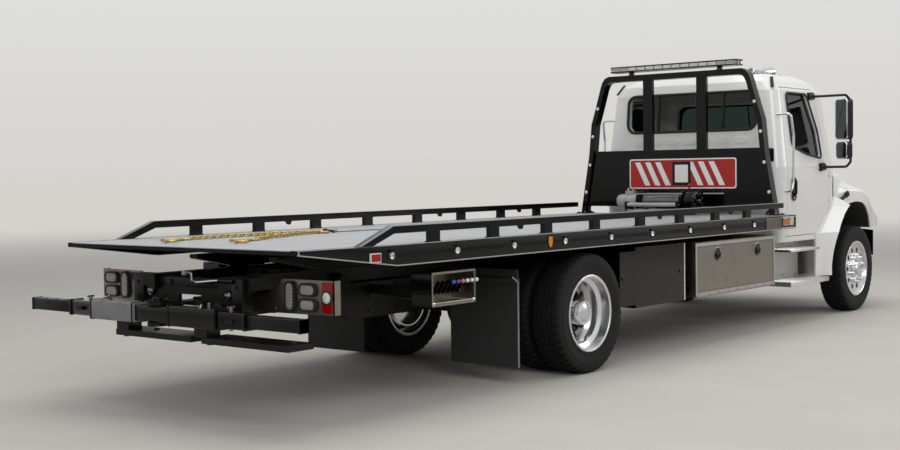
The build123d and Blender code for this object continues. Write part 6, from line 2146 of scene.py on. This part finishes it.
@dataclass
class Studio:
    """A pale floor and sky, soft lamps and the camera at the photograph's place."""

    eye: tuple[float, float, float] = (-8480.0, -6685.0, 1552.0)
    yaw: float = 39.07
    pitch: float = 2.229
    roll: float = -0.771
    focal_share: float = 1307.0 / 900.0
    sensor_mm: float = 36.0
    floor_radius: float = 90.0
    fade_from: float = 9.0
    fade_to: float = 34.0
    mirrored_share: float = 0.8

    def camera(self) -> None:
        """Place the camera by the fit of the photograph."""
        data = bpy.data.cameras.new("camera")
        data.sensor_width = self.sensor_mm
        data.lens = self.focal_share * self.sensor_mm
        data.clip_end = 400.0
        yaw, pitch, roll = (math.radians(a) for a in (self.yaw, self.pitch, self.roll))
        ahead = Vector((math.cos(yaw) * math.cos(pitch), math.sin(yaw) * math.cos(pitch), -math.sin(pitch)))
        right = Vector((math.sin(yaw), -math.cos(yaw), 0.0))
        up = right.cross(ahead)
        tilted = math.cos(roll) * right + math.sin(roll) * up
        upright = math.cos(roll) * up - math.sin(roll) * right
        turn = Matrix((tilted, upright, -ahead)).transposed()
        thing = bpy.data.objects.new("camera", data)
        thing.matrix_world = Matrix.Translation(at(*self.eye)) @ turn.to_4x4()
        bpy.context.scene.collection.objects.link(thing)
        bpy.context.scene.camera = thing

    def sky_colour(self, tree: bpy.types.NodeTree) -> bpy.types.NodeSocket:
        """Blend the backdrop from the ground's tone up to the zenith's.

        Args:
            tree: The world's nodes.

        Returns:
            The colour.
        """
        where = add_node(tree, "ShaderNodeTexCoord").outputs["Generated"]
        parts = add_node(tree, "ShaderNodeSeparateXYZ", {"Vector": where})
        ramp = add_node(tree, "ShaderNodeValToRGB", {"Fac": add_node(tree, "ShaderNodeMapRange", {
            "Value": parts.outputs["Z"], "From Min": -1.0, "From Max": 1.0}).outputs["Result"]})
        stops = ramp.color_ramp.elements
        stops[0].position, stops[0].color = 0.0, rgba("D4D2CD")
        stops[1].position, stops[1].color = 1.0, rgba("F1F3F5")
        for place, colour in ((0.49, "D4D2CD"), (0.53, "D9D8D5"), (0.62, "E6E7E7")):
            stops.new(place).color = rgba(colour)
        return ramp.outputs["Color"]

    def world(self) -> None:
        """Make a pale sky that shows behind the truck and in its metal, with a plain level of light."""
        world = bpy.data.worlds.new("world")
        world.use_nodes = True
        tree = world.node_tree
        tree.nodes.clear()
        colour = self.sky_colour(tree)
        seen = add_node(tree, "ShaderNodeLightPath")
        half = add_node(tree, "ShaderNodeMath", {0: seen.outputs["Is Glossy Ray"], 1: self.mirrored_share},
                        operation="MULTIPLY")
        first = add_node(tree, "ShaderNodeMath", {0: seen.outputs["Is Camera Ray"], 1: half.outputs[0]},
                         operation="MAXIMUM")
        either = add_node(tree, "ShaderNodeMath",
                          {0: first.outputs[0], 1: seen.outputs["Is Transmission Ray"]},
                          operation="MAXIMUM")
        light = add_node(tree, "ShaderNodeBackground", {"Color": rgba("F4F6FA"), "Strength": 0.54})
        show = add_node(tree, "ShaderNodeBackground", {"Color": colour, "Strength": 1.0})
        blend = add_node(tree, "ShaderNodeMixShader",
                         {0: either.outputs[0], 1: light.outputs[0], 2: show.outputs[0]})
        add_node(tree, "ShaderNodeOutputWorld", {"Surface": blend.outputs[0]})
        bpy.context.scene.world = world

    def floor(self) -> None:
        """Lay a pale floor that fades into the backdrop far from the truck."""
        mesh = bpy.data.meshes.new("floor")
        shape = bmesh.new()
        bmesh.ops.create_circle(shape, cap_ends=True, radius=self.floor_radius, segments=96)
        shape.to_mesh(mesh)
        shape.free()
        material = bpy.data.materials.new("pale_floor")
        material.use_nodes = True
        tree = material.node_tree
        shader = tree.nodes["Principled BSDF"]
        shader.inputs["Roughness"].default_value = 0.85
        spot = add_node(tree, "ShaderNodeTexCoord").outputs["Object"]
        noise = add_node(tree, "ShaderNodeTexNoise", {"Vector": spot, "Scale": 1.5, "Detail": 8.0})
        tone = add_node(tree, "ShaderNodeMix",
                        {"Factor": noise.outputs["Fac"], 6: rgba("BDB8B0"), 7: rgba("C9C5BE")},
                        data_type="RGBA")
        tree.links.new(tone.outputs[2], shader.inputs["Base Color"])
        far = add_node(tree, "ShaderNodeVectorMath", {0: spot}, operation="LENGTH")
        fade = add_node(tree, "ShaderNodeMapRange",
                        {"Value": far.outputs["Value"], "From Min": self.fade_from,
                         "From Max": self.fade_to}, interpolation_type="SMOOTHSTEP")
        glow = add_node(tree, "ShaderNodeEmission", {"Color": rgba("D4D2CD")})
        path = add_node(tree, "ShaderNodeLightPath")
        share = add_node(tree, "ShaderNodeMath",
                         {0: fade.outputs["Result"], 1: path.outputs["Is Camera Ray"]},
                         operation="MULTIPLY")
        blend = add_node(tree, "ShaderNodeMixShader",
                         {0: share.outputs[0], 1: shader.outputs[0], 2: glow.outputs[0]})
        tree.links.new(blend.outputs[0], tree.nodes["Material Output"].inputs["Surface"])
        mesh.materials.append(material)
        thing = bpy.data.objects.new("floor", mesh)
        bpy.context.scene.collection.objects.link(thing)

    def lamp(self, name: str, place: Point, aim: Point, size: tuple[float, float], power: float) -> None:
        """Hang one soft lamp.

        Args:
            name: The lamp's name.
            place: Where it hangs, in metres.
            aim: What it points at.
            size: Its two sides.
            power: Its power in watts.
        """
        data = bpy.data.lights.new(name, "AREA")
        data.shape = "RECTANGLE"
        data.size, data.size_y = size
        data.energy = power
        thing = bpy.data.objects.new(name, data)
        direction = Vector(aim) - Vector(place)
        thing.rotation_euler = direction.to_track_quat("-Z", "Y").to_euler()
        thing.location = place
        bpy.context.scene.collection.objects.link(thing)

    def build(self) -> None:
        """Make the whole setting."""
        view = bpy.context.scene.view_settings
        view.view_transform = "Standard"
        self.camera()
        self.world()
        self.floor()
        self.lamp("overhead", (0.0, 0.0, 9.0), (0.0, 0.0, 0.0), (12.0, 6.0), 440.0)
        self.lamp("key", (-9.0, -9.0, 7.0), (0.0, 0.0, 0.8), (6.0, 6.0), 430.0)
        self.lamp("fill", (9.0, -8.0, 5.0), (1.5, 0.0, 1.0), (5.0, 5.0), 220.0)


def main() -> None:
    """Build the setting, the finishes and every piece in order."""
    Studio().build()
    dress_nodes()
    for piece in (Tyre(), WheelTrim(), Bed(), Headboard(), Winch(), Rigging(), WheelLift(), RearLamps(),
                  Seats(), CabTrim(), DoorTrim(), HoodTrim(), SideTrim(), ToolBoxDoors(),
                  ControlStations(), Chassis()):
        piece.build()


if __name__ == "__main__":
    main()
